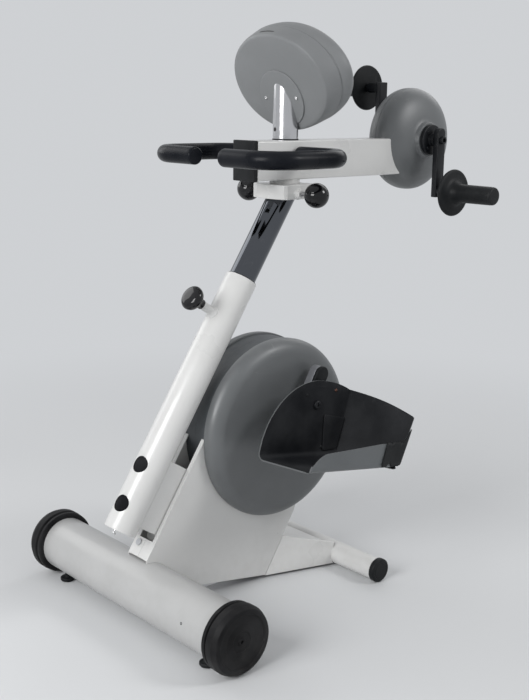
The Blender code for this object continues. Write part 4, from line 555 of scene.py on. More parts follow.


# White paint: the lighter edge tone is a painted edge highlight, not wear.
WHITE_PAINT = finish("white_powder_coat", (0.64, 0.64, 0.63), 0.30, grain=700.0, relief=0.10,
                     patch=0.02, coat=0.25, edge_wear_and_light=0.6, edge_wear_and_light_tone=(0.82, 0.82, 0.81), dust=0.03, dirt=0.10)
TUBE_PAINT = finish("white_tube_coat", (0.435, 0.437, 0.435), 0.36, grain=600.0, relief=0.14,
                    patch=0.03, coat=0.15, edge_wear_and_light=0.6, edge_wear_and_light_tone=(0.30, 0.30, 0.29), dust=0.05, dirt=0.16,
                    scratches=0.25)
SILVER_PAINT = finish("satin_stem_silver", (0.58, 0.58, 0.59), 0.17, metal=1.0, grain=1800.0,
                      relief=0.05, patch=0.03, coat=0.2)
# One grey plastic in two tones: covers darker, partly painted shade; display lighter, painted
# light.
COVER_GREY_SHADED = finish("grey_moulded_cover_painted_shade", (0.124, 0.131, 0.135), 0.37, grain=1500.0, relief=0.22,
                    patch=0.05, edge_wear_and_light=0.35, edge_wear_and_light_tone=(0.30, 0.31, 0.32), dust=0.06, scratches=0.2)
DISPLAY_GREY_LIT = finish("grey_display_cover_painted_light", (0.200, 0.207, 0.212), 0.44, grain=1500.0,
                      relief=0.18, patch=0.04, dust=0.05, scratches=0.15, specular=0.32)
# The band's darker grey is painted shade between the covers, not a darker material.
BAND_GREY_SHADE = finish("cover_band_painted_shade", (0.055, 0.062, 0.068), 0.48, grain=1500.0, relief=0.22,
                   dust=0.06)
SHELL_GREY = finish("grey_foot_shell", (0.112, 0.121, 0.126), 0.40, grain=1300.0, relief=0.18,
                    patch=0.05, edge_wear_and_light=0.5, edge_wear_and_light_tone=(0.30, 0.31, 0.32), dust=0.05, scratches=0.2)
RIM_GREY = finish("worn_shell_rim", (0.095, 0.10, 0.103), 0.45, grain=1300.0, dust=0.0)
LINING = finish("dark_shell_lining", (0.006, 0.007, 0.009), 0.6, grain=420.0, relief=0.4,
                depth=0.0004, patch=0.2, dust=0.008, scratches=0.06, specular=0.12)
PLUG_RUBBER = finish("black_plug_rubber", (0.005, 0.0055, 0.007), 0.7, grain=600.0, relief=0.3,
                     patch=0.15, dust=0.004, scratches=0.03, specular=0.05)
BLACK_PLASTIC = finish("black_moulded_plastic", (0.005, 0.006, 0.007), 0.46, grain=1100.0,
                       relief=0.25, patch=0.15, edge_wear_and_light=0.3, edge_wear_and_light_tone=(0.035, 0.035, 0.037), dust=0.008,
                       scratches=0.06, specular=0.16)
BLACK_PAINT = finish("black_metal_paint", (0.006, 0.007, 0.009), 0.32, grain=900.0, relief=0.12,
                     patch=0.1, edge_wear_and_light=0.4, edge_wear_and_light_tone=(0.12, 0.115, 0.11), dust=0.008, scratches=0.08,
                     specular=0.25)
GLOSS_BLACK = finish("polished_black_knob", (0.002, 0.002, 0.003), 0.07, grain=300.0, relief=0.01,
                     patch=0.1, dust=0.003, scratches=0.03, specular=0.4)
# Wheel rubber: the lighter edge tone is a painted edge highlight, not wear.
WHEEL_RUBBER = finish("black_wheel_rubber", (0.006, 0.006, 0.007), 0.5, grain=800.0, relief=0.3,
                      depth=0.0004, patch=0.2, edge_wear_and_light=0.7, edge_wear_and_light_tone=(0.07, 0.07, 0.072), dust=0.012,
                      dirt=0.04, scratches=0.1, specular=0.10)
FOAM = finish("black_handle_foam", (0.003, 0.004, 0.007), 0.28, grain=1300.0, relief=0.16,
              patch=0.12, dust=0.004, scratches=0.02, specular=0.10)
# Chrome darkened well below real chrome: a painted dark reflection of dark surroundings.
CHROME_DARK_REFLECTION = finish("chrome_painted_dark_reflection", (0.105, 0.111, 0.123), 0.06, metal=1.0, grain=200.0, relief=0.01,
                patch=0.02, dust=0.02, scratches=0.2)
SATIN_METAL = finish("satin_aluminium", (0.19, 0.195, 0.21), 0.40, metal=0.4, relief=0.12,
                     patch=0.05, edge_wear_and_light=0.5, edge_wear_and_light_tone=(0.6, 0.6, 0.61), dust=0.04,
                     brushed=(1.0, 0.05, 0.05))
STEEL = finish("plain_steel", (0.50, 0.50, 0.51), 0.34, metal=1.0, relief=0.1, patch=0.08,
               dust=0.05, brushed=(0.05, 1.0, 1.0))
CAST_METAL = finish("cast_housing_metal", (0.30, 0.31, 0.32), 0.5, metal=1.0, grain=500.0,
                    relief=0.5, depth=0.0005, patch=0.12)
BELT_RUBBER = finish("belt_rubber", (0.03, 0.03, 0.03), 0.7, grain=900.0, relief=0.4, patch=0.15)
KEY_GREY = finish("pale_key_plastic", (0.45, 0.46, 0.48), 0.38, grain=1400.0, relief=0.12)
KEY_GREEN = finish("green_key_plastic", (0.03, 0.27, 0.09), 0.38, grain=1400.0, relief=0.12)
PRINT = finish("white_key_print", (0.75, 0.76, 0.77), 0.5, dust=0.0, scratches=0.0)
SCREW_METAL = finish("bright_screw", (0.72, 0.72, 0.72), 0.16, metal=1.0, relief=0.02, dust=0.0)
COPPER_RIVET = finish("copper_rivet", (0.12, 0.06, 0.045), 0.4, metal=1.0, dust=0.0)
# Black for key print, and painted shade where it stands for the top slot and set-screw hole.
PRINT_AND_SHADE_BLACK = finish("print_and_painted_shade_black", (0.004, 0.004, 0.004), 0.6, dust=0.0, scratches=0.0)
WINDOW = finish("display_window", (0.055, 0.075, 0.068), 0.30, coat=0.1, coat_rough=0.25,
                dust=0.06, grain=200.0, relief=0.01, scratches=0.1, specular=0.4)


def keep(piece, body, material, slot, *stands_for):
    """Gives a piece its finish and body, and hides the CAD nodes that it stands for; slot is not
    used.
    """
    piece.data.materials.clear()
    piece.data.materials.append(material)
    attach(piece, body)
    if stands_for:
        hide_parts(*stands_for)
    return piece


def socket_screw(name, centre, axis, radius, body, slot, material=SCREW_METAL):
    """Screw head with a rounded rim and a socket: profile of outer wall, crown and bore."""
    height, bore = 0.8 * radius, 0.5 * radius
    profile = fillets([(0.0, -0.002), (radius, -0.002), (radius, height, 0.25 * radius),
                       (bore, height, 0.08 * radius), (bore, 0.35 * height), (0.0, 0.35 * height)],
                      steps=4)
    return keep(lathe(name, profile, centre, axis, 24), body, material, slot)


# Floor frame

def make_base_tube():
    """Big cross tube with rounded rims, the axle's stop screw and the two pads under it."""
    piece = tube("base_tube_coat", TUBE_RADIUS, TUBE_WALL, -TUBE_HALF, TUBE_HALF,
                 place(0.0, 0.0, AXLE_Z), X_AXIS, 0.001, 144)
    keep(piece, "base", TUBE_PAINT, "white_paint", "base_cross_tube")
    outward = math.sin(STOP_LIFT) * Z_AXIS - math.cos(STOP_LIFT) * Y_AXIS
    socket_screw("axle_stop_screw", place(STOP_X, 0.0, AXLE_Z) + (TUBE_RADIUS - 0.0018) * outward,
                 outward, 0.0028, "base", "steel", BLACK_PAINT)
    profile = fillets([(0.0, 0.0), (PAD_RADIUS - 0.002, 0.0, 0.001), (PAD_RADIUS, 0.003, 0.001),
                       (PAD_RADIUS, PAD_HEIGHT, 0.0015), (PAD_STEM + 0.003, PAD_HEIGHT, 0.001),
                       (PAD_STEM, PAD_HEIGHT + 0.003, 0.001), (PAD_STEM, PAD_TOP),
                       (0.0, PAD_TOP)])
    for side, sign in SIDES:
        pad = lathe("floor_pad_" + side, profile, place(sign * PAD_X, PAD_Y, 0.0), Z_AXIS, 48)
        keep(pad, "base", BLACK_PLASTIC, "black_plastic", "front_foot_" + side)


def make_wheels():
    """Twin-flanged wheels: inboard flange, groove, rounded tread, and a dished face with
    a raised rim, a hub ring and a centre dimple."""
    half, r = WHEEL_HALF, WHEEL_RADIUS
    profile = fillets([
        (0.0, -half), (r - 0.0045, -half, 0.001), (r - 0.0012, -half + 0.002, 0.001),
        (r - 0.0012, -half + 0.0085, 0.0012), (r - 0.0055, -half + 0.0100, 0.0006),
        (r - 0.0055, -half + 0.0125, 0.0006), (r, -half + 0.0145, 0.0015),
        (r, half - 0.0120, 0.004), (r - 0.0045, half - 0.0015, 0.003), (r - 0.0085, half, 0.001),
        (r - 0.0135, half, 0.0008), (r - 0.0150, half - 0.0030, 0.001),
        (0.034, half - 0.0052, 0.006), (0.0205, half - 0.0040, 0.001),
        (0.0195, half - 0.0056, 0.0006), (0.0080, half - 0.0056, 0.001),
        (0.0070, half - 0.0035, 0.0008), (0.0035, half - 0.0035, 0.0006),
        (0.0030, half - 0.0065), (0.0, half - 0.0065)], steps=5)
    for side, sign in SIDES:
        wheel = lathe("rolling_wheel_" + side, profile, place(sign * WHEEL_X, 0.0, AXLE_Z),
                      sign * X_AXIS, 144)
        keep(wheel, "wheel_" + side, WHEEL_RUBBER, "tyre_black", "wheel_" + side)


def make_rear_tube():
    """Rear cross tube and its domed end caps with a seat ring."""
    centre = place(0.0, REAR_Y, REAR_Z)
    piece = tube("rear_tube_coat", REAR_RADIUS, REAR_WALL, -REAR_HALF, REAR_HALF, centre, X_AXIS)
    keep(piece, "base", WHITE_PAINT, "white_paint", "rear_cross_tube")
    inside, root, seat = REAR_RADIUS - 0.003, REAR_HALF - 0.018, REAR_HALF + FIT_GAP
    profile = fillets([(0.0, root), (inside, root, 0.002), (inside, seat),
                       (CAP_RADIUS, seat, 0.0006), (CAP_RADIUS, CAP_END - 0.001, 0.0035),
                       (0.019, CAP_END, 0.001), (0.0182, CAP_END - 0.0012, 0.0006),
                       (0.0174, CAP_END, 0.0006), (0.006, CAP_END - 0.0004, 0.004),
                       (0.0, CAP_END - 0.0004)])
    for side, sign in SIDES:
        cap = lathe("tube_end_cap_" + side, profile, centre, sign * X_AXIS)
        keep(cap, "base", BLACK_PLASTIC, "black_plastic", "rear_end_cap_" + side)


def make_sheet_pieces():
    """Folded covers and bracket with softened edges."""
    for node, name in (("side_cover_left", "folded_cover_left"),
                       ("side_cover_right", "folded_cover_right"),
                       ("column_bracket", "welded_bracket")):
        keep(finish_of_copy(node, name), "base", WHITE_PAINT, "white_paint", node)


def make_rear_cover():
    """Flared cover lofted along k: half width and top are straight lines in k, the deck is
    sunk between the walls, and each line runs from the side covers' sloped rear edge to
    the rear tube, y = front(z) + k (end(z) - front(z))."""
    k = np.linspace(0.0, 1.0, 24)[:, None]
    half = HOUSE_HALF + (LEG_REAR_HALF - HOUSE_HALF) * k
    top = LEG_TOP_FRONT + (LEG_TOP_REAR - LEG_TOP_FRONT) * k
    rise = np.linspace(0.0, 1.0, 12)
    outer = LEG_LOW_Z + (top - LEG_LOW_Z) * rise
    deck, under = top - LEG_DECK_DROP, top - LEG_DECK_DROP - LEG_WALL
    low = np.full_like(top, LEG_LOW_Z)
    right = np.concatenate([outer, top, deck], 1)
    z = np.concatenate([right, right[:, ::-1], low, under, under, low], 1)
    thin, wide = half - LEG_WALL, half * np.ones_like(outer)
    x = np.concatenate([-wide, -thin, -thin, thin, thin, wide, thin, thin, -thin, -thin], 1)
    front = HOUSE_REAR[0] + (z - HOUSE_REAR[1]) * HOUSE_REAR_SLOPE + LEG_SEAM
    clear = np.sqrt(np.maximum(0.0, (REAR_RADIUS + FIT_GAP) ** 2 - (z - REAR_Z) ** 2))
    y = front + (REAR_Y - np.maximum(LEG_END, clear) - front) * k
    cover = surface("flared_leg_cover", place(x, y, z), caps=True, sharp=25)
    round_edges(cover, 0.0008, 3, 40)
    keep(cover, "base", WHITE_PAINT, "white_paint", "rear_leg_cover")


# Column and mast

def make_column():
    """Leaning column with rounded rims, the flared clamp boss, the small hook at the
    column's foot, a smooth line through (along, behind, x) keys, and the guide bush in
    its top."""
    foot = on_column(0.0)
    column = tube("column_coat", COLUMN_RADIUS, COLUMN_WALL, 0.0, COLUMN_LENGTH, foot, ALONG,
                  0.001, 128)
    keep(column, "base", WHITE_PAINT, "white_paint", "column_tube")
    root, end = COLUMN_RADIUS - 0.006, KNOB_REACH - FIT_GAP
    boss = fillets([(0.0, root), (0.0155, root), (0.0145, COLUMN_RADIUS - 0.0005, 0.001),
                    (BOSS_RADIUS, COLUMN_RADIUS + 0.005, 0.005), (BOSS_RADIUS, end, 0.0008),
                    (0.0, end)])
    keep(lathe("clamp_boss", boss, on_column(KNOB_ALONG), -BEHIND, 48), "base", WHITE_PAINT,
         "white_paint")
    hook = spline([(0.006, -0.0245, 0.016), (-0.002, -0.0245, 0.016), (-0.0055, -0.0255, 0.016),
                   (-0.0075, -0.0235, 0.0165), (-0.0075, -0.0205, 0.0168)], 6)
    path, radii = rounded_ends(on_column(*hook.T), 0.0022, 0.0015)
    keep(sweep("cable_hook", path, radii, 24, X_AXIS), "base", SCREW_METAL, "steel")
    inner, outer, rim = (MAST_RADIUS + FIT_GAP, COLUMN_RADIUS - COLUMN_WALL - FIT_GAP,
                         COLUMN_RADIUS - 0.0015)
    low, seat, top = COLUMN_LENGTH - 0.045, COLUMN_LENGTH + 0.0002, COLUMN_LENGTH + BUSH_LIP
    bush = fillets([(inner, low), (inner, top, 0.0004), (rim, top, 0.0006), (rim, seat),
                    (outer, seat), (outer, low)], closed=True, steps=3)
    keep(lathe("mast_guide_bush", bush, foot, ALONG, closed=True), "base", BLACK_PLASTIC,
         "black_plastic", "guide_bush")


def make_plugs():
    """Plugs wrapped on the column: for each disc point (u, v) the depth is the column's
    surface sqrt(R^2 - u^2) plus the height of a raised rim and a sunk floor."""
    rim = np.array([(1.0, -0.004), (1.0, 0.0006), (0.985, 0.0013), (0.94, 0.0016), (0.88, 0.0015),
                    (0.85, 0.0009), (0.83, 0.0005), (0.7, 0.0004), (0.4, 0.0004), (0.0, 0.0004)])
    facing = -math.cos(PLUG_TURN) * BEHIND + math.sin(PLUG_TURN) * X_AXIS
    sideways = np.cross(ALONG, facing)
    turn, radius = round_turn(80), rim[:, :1] * PLUG_RADIUS
    u, v = radius * np.cos(turn), radius * np.sin(turn)
    depth = np.sqrt((COLUMN_RADIUS + 0.0002) ** 2 - u ** 2) + rim[:, 1:]
    for name, along in PLUG_ALONG.items():
        grid = (on_column(along) + u[..., None] * sideways + v[..., None] * ALONG
                + depth[..., None] * facing)
        keep(surface("access_plug_" + name, grid, sharp=50), "base", PLUG_RUBBER,
             "black_plastic", "column_plug_" + name)


def make_clamp_knob():
    """Mushroom knob: crowned top, full rim, drawn-in waist and a short metal stem."""
    base, top = KNOB_REACH, KNOB_REACH + KNOB_LENGTH
    crown = spline([(0.0103, base + 0.0005), (0.0104, base + 0.004), (0.0112, base + 0.0095),
                    (0.0150, base + 0.0140), (0.0215, base + 0.0190), (0.0247, base + 0.0260),
                    (0.0242, base + 0.0325), (0.0195, base + 0.0376), (0.0110, top - 0.0004),
                    (0.0, top)], 8)
    profile = np.vstack([[(0.0, base), (0.0095, base)], crown])
    keep(lathe("clamp_knob_head", profile, on_column(KNOB_ALONG), -BEHIND), "clamp_knob",
         GLOSS_BLACK, "gloss_black", "clamp_knob")
    low, high = MAST_RADIUS + FIT_GAP, base + 0.001
    stem = [(0.0, low), (KNOB_STEM, low), (KNOB_STEM, high), (0.0, high)]
    keep(lathe("clamp_knob_stem", stem, on_column(KNOB_ALONG), -BEHIND, 32), "clamp_knob",
         STEEL, "steel")


def make_mast():
    """Polished mast, cut level under the head: each side line ends where it meets the
    head's underside. Its chrome is darkened as a painted dark reflection."""
    u, v, w = basis(ALONG)
    turn = round_turn(128)[:, None]
    around = MAST_RADIUS * (np.cos(turn) * u + np.sin(turn) * v)
    foot = on_column(0.0)
    top = (HEAD_LOW_Z - FIT_GAP - foot[2] - around[:, 2]) / w[2]
    low = np.full_like(top, COLUMN_LENGTH - MAST_INSERT)
    reach = np.array([low, low + 0.002, (low + top) / 2, top - 0.0005, top])
    inner = np.array([top, low])
    thin = 1 - MAST_WALL / MAST_RADIUS
    grid = np.concatenate([foot + around + reach[..., None] * w,
                           foot + thin * around + inner[..., None] * w])
    keep(surface("polished_mast", grid, wrap_rows=True), "mast", CHROME_DARK_REFLECTION, "chrome", "mast_tube")


def make_head():
    """Head block with a convex front, its lock bosses, and the ball knobs on steel pins."""
    curve = (HEAD_HALF_X ** 2 + HEAD_BULGE ** 2) / (2 * HEAD_BULGE)
    reach = math.degrees(math.asin((HEAD_HALF_X - 0.004) / curve))
    front = ring((0.0, curve - HEAD_HALF_Y - HEAD_BULGE), curve, -90 - reach, -90 + reach, 28)
    front_y = 0.003 - HEAD_HALF_Y
    rear = fillets([(HEAD_HALF_X, front_y, 0.003), (HEAD_HALF_X, HEAD_HALF_Y, 0.006),
                    (-HEAD_HALF_X, HEAD_HALF_Y, 0.006), (-HEAD_HALF_X, front_y, 0.003)],
                   closed=True)
    block = slab("swivel_head", np.vstack([front, rear[3:-3]]), HEAD_LOW_Z, HEAD_HIGH_Z, 0.0016,
                 place(0.0, SWIVEL_Y, 0.0), X_AXIS, Y_AXIS, Z_AXIS)
    keep(block, "mast", WHITE_PAINT, "white_paint", "head_block")
    at, end = place(0.0, LOCK_Y, LOCK_Z), HEAD_HALF_X + 0.010
    boss = fillets([(0.0, HEAD_HALF_X - 0.002), (0.0125, HEAD_HALF_X - 0.002),
                    (0.0120, HEAD_HALF_X + 0.0005, 0.0008), (0.009, HEAD_HALF_X + 0.003, 0.002),
                    (0.009, end, 0.001), (0.0, end)])
    start = math.asin(LOCK_NECK / LOCK_RADIUS)
    neck = LOCK_X - LOCK_RADIUS * math.cos(start)
    turn = np.linspace(math.pi - start, 0.0, 48)
    sphere = np.stack([LOCK_RADIUS * np.sin(turn), LOCK_X + LOCK_RADIUS * np.cos(turn)], -1)
    ball = np.vstack([[(0.0, neck - 0.0015), (0.0078, neck - 0.0015)], sphere])
    pin = [(0.0, LOCK_PIN_X), (LOCK_PIN_RADIUS, LOCK_PIN_X), (LOCK_PIN_RADIUS, neck + 0.002),
           (0.0, neck + 0.002)]
    for side, sign in SIDES:
        keep(lathe("lock_boss_" + side, boss, at, sign * X_AXIS, 40), "mast", WHITE_PAINT,
             "white_paint")
        keep(lathe("lock_ball_" + side, ball, at, sign * X_AXIS), "lock_" + side, GLOSS_BLACK,
             "gloss_black", "lock_knob_" + side)
        keep(lathe("lock_pin_" + side, pin, at, sign * X_AXIS, 32), "lock_" + side, STEEL, "steel")


# Beam and handles

def make_beam():
    """Box beam as a rounded rectangle carried along Y, its swivel flange and end plate."""
    half = BEAM_HEIGHT / 2
    middle = place(0.0, 0.0, BEAM_LOW_Z + half)
    beam = slab("beam_coat", rounded_box(BEAM_HALF, half, BEAM_CORNER), BEAM_FRONT_Y, BEAM_REAR_Y,
                0.0006, middle, X_AXIS, Z_AXIS, Y_AXIS)
    keep(beam, "beam", WHITE_PAINT, "white_paint", "arm_beam")
    low, high = HEAD_HIGH_Z + FIT_GAP, BEAM_LOW_Z + 0.001
    flange = fillets([(0.0, low), (0.031, low, 0.0006), (0.031, high), (0.0, high)])
    keep(lathe("swivel_flange", flange, place(0.0, SWIVEL_Y, 0.0), Z_AXIS), "beam", WHITE_PAINT,
         "white_paint")
    seat = BEAM_FRONT_Y - FIT_GAP
    plate = slab("beam_cap", rounded_box(BEAM_HALF, half + END_LIP, 0.002), seat - END_THICK, seat,
                 0.0014, middle, X_AXIS, Z_AXIS, Y_AXIS)
    keep(plate, "beam", BLACK_PLASTIC, "black_plastic", "beam_end_plate")


def loop_line(sign, start_x, end_x):
    """Middle line of one hand loop, from the beam round to its open end, with points
    close enough to bend smoothly."""
    flat = fillets([(start_x, BAR_Y), (LOOP_HALF_X, BAR_Y, LOOP_CORNER),
                    (LOOP_HALF_X, LOOP_FRONT_Y, LOOP_CORNER), (end_x, LOOP_FRONT_Y)], steps=20)
    x, y = np.vstack([np.linspace(flat[0], flat[1], 8)[:-1], flat[1:-1],
                      np.linspace(flat[-2], flat[-1], 8)[1:]]).T
    return place(sign * x, y, BAR_Z)


def make_handles():
    """Bent bar with two open loops and a foam sleeve with soft ends on each."""
    end = LOOP_END_X + FOAM_TIP - 0.0006
    right, left = loop_line(-1, 0.0, end), loop_line(1, 0.0, end)
    path, radii = rounded_ends(np.vstack([right[::-1], left[1:]]), BAR_RADIUS, 0.002)
    keep(sweep("bent_handlebar", path, radii, 32), "beam", BLACK_PAINT, "black_paint", "handlebar")
    for side, sign in SIDES:
        path, radii = rounded_ends(loop_line(sign, FOAM_START_X, LOOP_END_X), FOAM_RADIUS, 0.004)
        foam = sweep("foam_sleeve_" + side, path, radii, 48)
        keep(foam, "beam", FOAM, "foam_black", "handle_foam_" + side)


# Arm unit

def make_arm_unit():
    """Flattened domes (|r/R|^p + |x/H|^p = 1) with conical hub bosses, the crank hub with
    its screws, the arms and the guarded hand grips."""
    centre = place(0.0, ARM_Y, ARM_Z)
    root = HUB_BOSS_RADIUS + 0.006
    turn = np.linspace(math.asin((root / DOME_RADIUS) ** (DOME_POWER / 2)), math.pi / 2, 40)
    cosine = np.maximum(np.cos(turn), 0.0)
    dome = np.stack([DOME_RADIUS * np.sin(turn) ** (2 / DOME_POWER),
                     DOME_GAP + (DOME_HALF - DOME_GAP) * cosine ** (2 / DOME_POWER)], -1)
    boss = fillets([(DOME_BORE, HUB_BOSS_X), (HUB_BOSS_RADIUS - 0.0035, HUB_BOSS_X, 0.0015),
                    (HUB_BOSS_RADIUS, dome[0, 1] + 0.002, 0.0015), tuple(dome[0])], steps=5)
    inner = [(DOME_RADIUS - DOME_WALL, DOME_GAP), (DOME_BORE, DOME_GAP)]
    profile = np.vstack([boss, dome[1:], inner])
    for side, sign in SIDES:
        cover = lathe("arm_cover_" + side, profile, centre, sign * X_AXIS, 160, closed=True)
        keep(cover, "beam", COVER_GREY_SHADED, "grey_cover", "arm_housing_" + side)

    hub_in, arm_out = HUB_BOSS_X + FIT_GAP, ARM_IN + ARM_THICK
    hub_out = hub_in + HUB_THICK
    hub = fillets([(0.0, 0.0), (SHAFT_RADIUS, 0.0), (SHAFT_RADIUS, hub_in),
                   (HUB_RADIUS, hub_in, 0.001), (HUB_RADIUS, hub_out, 0.0016),
                   (0.0145, hub_out, 0.001), (0.0140, ARM_IN - FIT_GAP, 0.0006),
                   (0.0, ARM_IN - FIT_GAP)])
    bolt = fillets([(0.0, ARM_IN), (0.0085, ARM_IN), (0.0085, arm_out + 0.0070, 0.001),
                    (0.0045, arm_out + 0.0070, 0.0004), (0.0045, arm_out + 0.0020),
                    (0.0, arm_out + 0.0020)])
    for side, sign in SIDES:
        keep(lathe("arm_hub_" + side, hub, centre, sign * X_AXIS), "arm_crank", BLACK_PAINT,
             "black_paint", *(["arm_shaft"] if side == "left" else []))
        for k in range(HUB_SCREWS):
            angle = math.radians(45 + k * 360 / HUB_SCREWS)
            at = centre + HUB_SCREW_CIRCLE * (math.cos(angle) * Y_AXIS + math.sin(angle) * Z_AXIS)
            socket_screw(f"hub_screw_{side}_{k}", at + sign * hub_out * X_AXIS, sign * X_AXIS,
                         0.0034, "arm_crank", "steel", BLACK_PAINT)
        keep(lathe("arm_bolt_" + side, bolt, centre, sign * X_AXIS, 40), "arm_crank", BLACK_PAINT,
             "steel")
        make_arm_crank(side, sign, centre)


def make_arm_crank(side, sign, centre):
    """Arm with a round hub end and a square far end, its pin collar, and the grip."""
    down = -sign * Z_AXIS
    half = ARM_WIDTH / 2
    end = ARM_RADIUS + half
    tail = ring((0.0, -ARM_TAIL), half, 0, -180, 24)
    square = fillets([(-half, 0.0), (-half, end, 0.002), (half, end, 0.002), (half, 0.0)], steps=4)
    arm = slab("hand_crank_" + side, np.vstack([tail, square[1:-1]]), ARM_IN, ARM_IN + ARM_THICK,
               0.0016, centre, np.cross(down, sign * X_AXIS), down, sign * X_AXIS)
    keep(arm, "arm_crank", BLACK_PAINT, "black_paint", "arm_crank_" + side)
    pin_at, root, seat = centre + ARM_RADIUS * down, ARM_IN + ARM_THICK - 0.001, GUARD_X - FIT_GAP
    collar = fillets([(0.0, root), (0.0115, root), (0.0115, GUARD_X - 0.006, 0.001),
                      (0.009, GUARD_X - 0.005, 0.0005), (0.009, seat), (0.0, seat)])
    keep(lathe("grip_collar_" + side, collar, pin_at, sign * X_AXIS, 40), "arm_crank", BLACK_PAINT,
         "black_paint")
    face = GUARD_X + GUARD_THICK
    guard = fillets([(0.0, GUARD_X), (GUARD_RADIUS - 0.0015, GUARD_X, 0.001),
                     (GUARD_RADIUS, GUARD_X + 0.003, 0.0025), (GUARD_RADIUS, face - 0.001, 0.0035),
                     (GUARD_RADIUS - 0.006, face, 0.002), (GUARD_ROOT, face + 0.0002)], steps=5)
    cone = spline([(GUARD_ROOT, face + 0.0002), (0.0265, face + 0.0035), (0.0225, face + 0.0105),
                   (GRIP_RADIUS, face + 0.0200)], 6)
    grip = fillets([(GRIP_RADIUS - 0.0008, face + 0.034),
                    (GRIP_RADIUS - 0.0003, GRIP_END_X - 0.012),
                    (GRIP_RADIUS - 0.0010, GRIP_END_X, 0.005), (0.0, GRIP_END_X)])
    profile = np.vstack([guard[:-1], cone, grip[1:]])
    keep(lathe("guarded_grip_" + side, profile, pin_at, sign * X_AXIS, 112), "grip_" + side,
         BLACK_PLASTIC, "black_plastic", "hand_grip_" + side)


# Leg unit

def make_disc_covers():
    """Round covers: flat face, quarter-oval shoulder, tapered side with a crisp rear edge,
    and the band that runs from there to the machine's middle plane, darker with painted shade."""
    centre = place(0.0, CRANK_Y, CRANK_Z)
    band = DISC_RADIUS - DISC_STEP
    bend = np.linspace(0.0, math.pi / 2, 24)
    drop = DISC_FACE - DISC_SHOULDER_X
    shoulder = np.stack([DISC_FACE_RADIUS + (DISC_RADIUS - DISC_FACE_RADIUS) * np.sin(bend),
                         DISC_SHOULDER_X + drop * np.cos(bend)], -1)
    face = fillets([(DISC_HOLE, DISC_FACE - DISC_WALL), (DISC_HOLE, DISC_FACE - 0.0006, 0.0005),
                    (DISC_HOLE + 0.003, DISC_FACE, 0.0015), (0.048, DISC_FACE, 0.001),
                    (0.0488, DISC_FACE - 0.0007), (0.0496, DISC_FACE), (0.100, DISC_FACE)], steps=3)
    side = fillets([tuple(shoulder[-1]), (DISC_RADIUS - 0.0006, BAND_IN + 0.0004, 0.0005),
                    (band - 0.001, BAND_IN), (band - 0.001, BAND_IN + DISC_WALL)], steps=3)
    profile = np.vstack([face, shoulder, side[1:], shoulder[::-1] - DISC_WALL])
    strip = fillets([(band, BAND_IN + 0.001), (band, FIT_GAP / 2), (band - DISC_WALL, FIT_GAP / 2),
                     (band - DISC_WALL, BAND_IN + 0.001)], closed=True)
    for name, sign in SIDES:
        keep(lathe("round_cover_" + name, profile, centre, sign * X_AXIS, 176, closed=True),
             "base", COVER_GREY_SHADED, "grey_cover", "disc_cover_" + name)
        keep(lathe("round_cover_band_" + name, strip, centre, sign * X_AXIS, 176, closed=True),
             "base", BAND_GREY_SHADE, "grey_cover")


def crank_direction(sign):
    """Direction of a leg crank arm from its shaft; the two arms point opposite ways."""
    return sign * (math.sin(CRANK_ANGLE) * Y_AXIS + math.cos(CRANK_ANGLE) * Z_AXIS)


def foot_frame(sign):
    """Foot shell's origin on the pedal pin's axis, and its backward and upward directions,
    level with the sole and square to it."""
    pin = place(0.0, CRANK_Y, CRANK_Z) + CRANK_PIN_RADIUS * crank_direction(sign)
    back = math.cos(FOOT_PITCH) * Y_AXIS - math.sin(FOOT_PITCH) * Z_AXIS
    up = math.sin(FOOT_PITCH) * Y_AXIS + math.cos(FOOT_PITCH) * Z_AXIS
    return pin, back, up


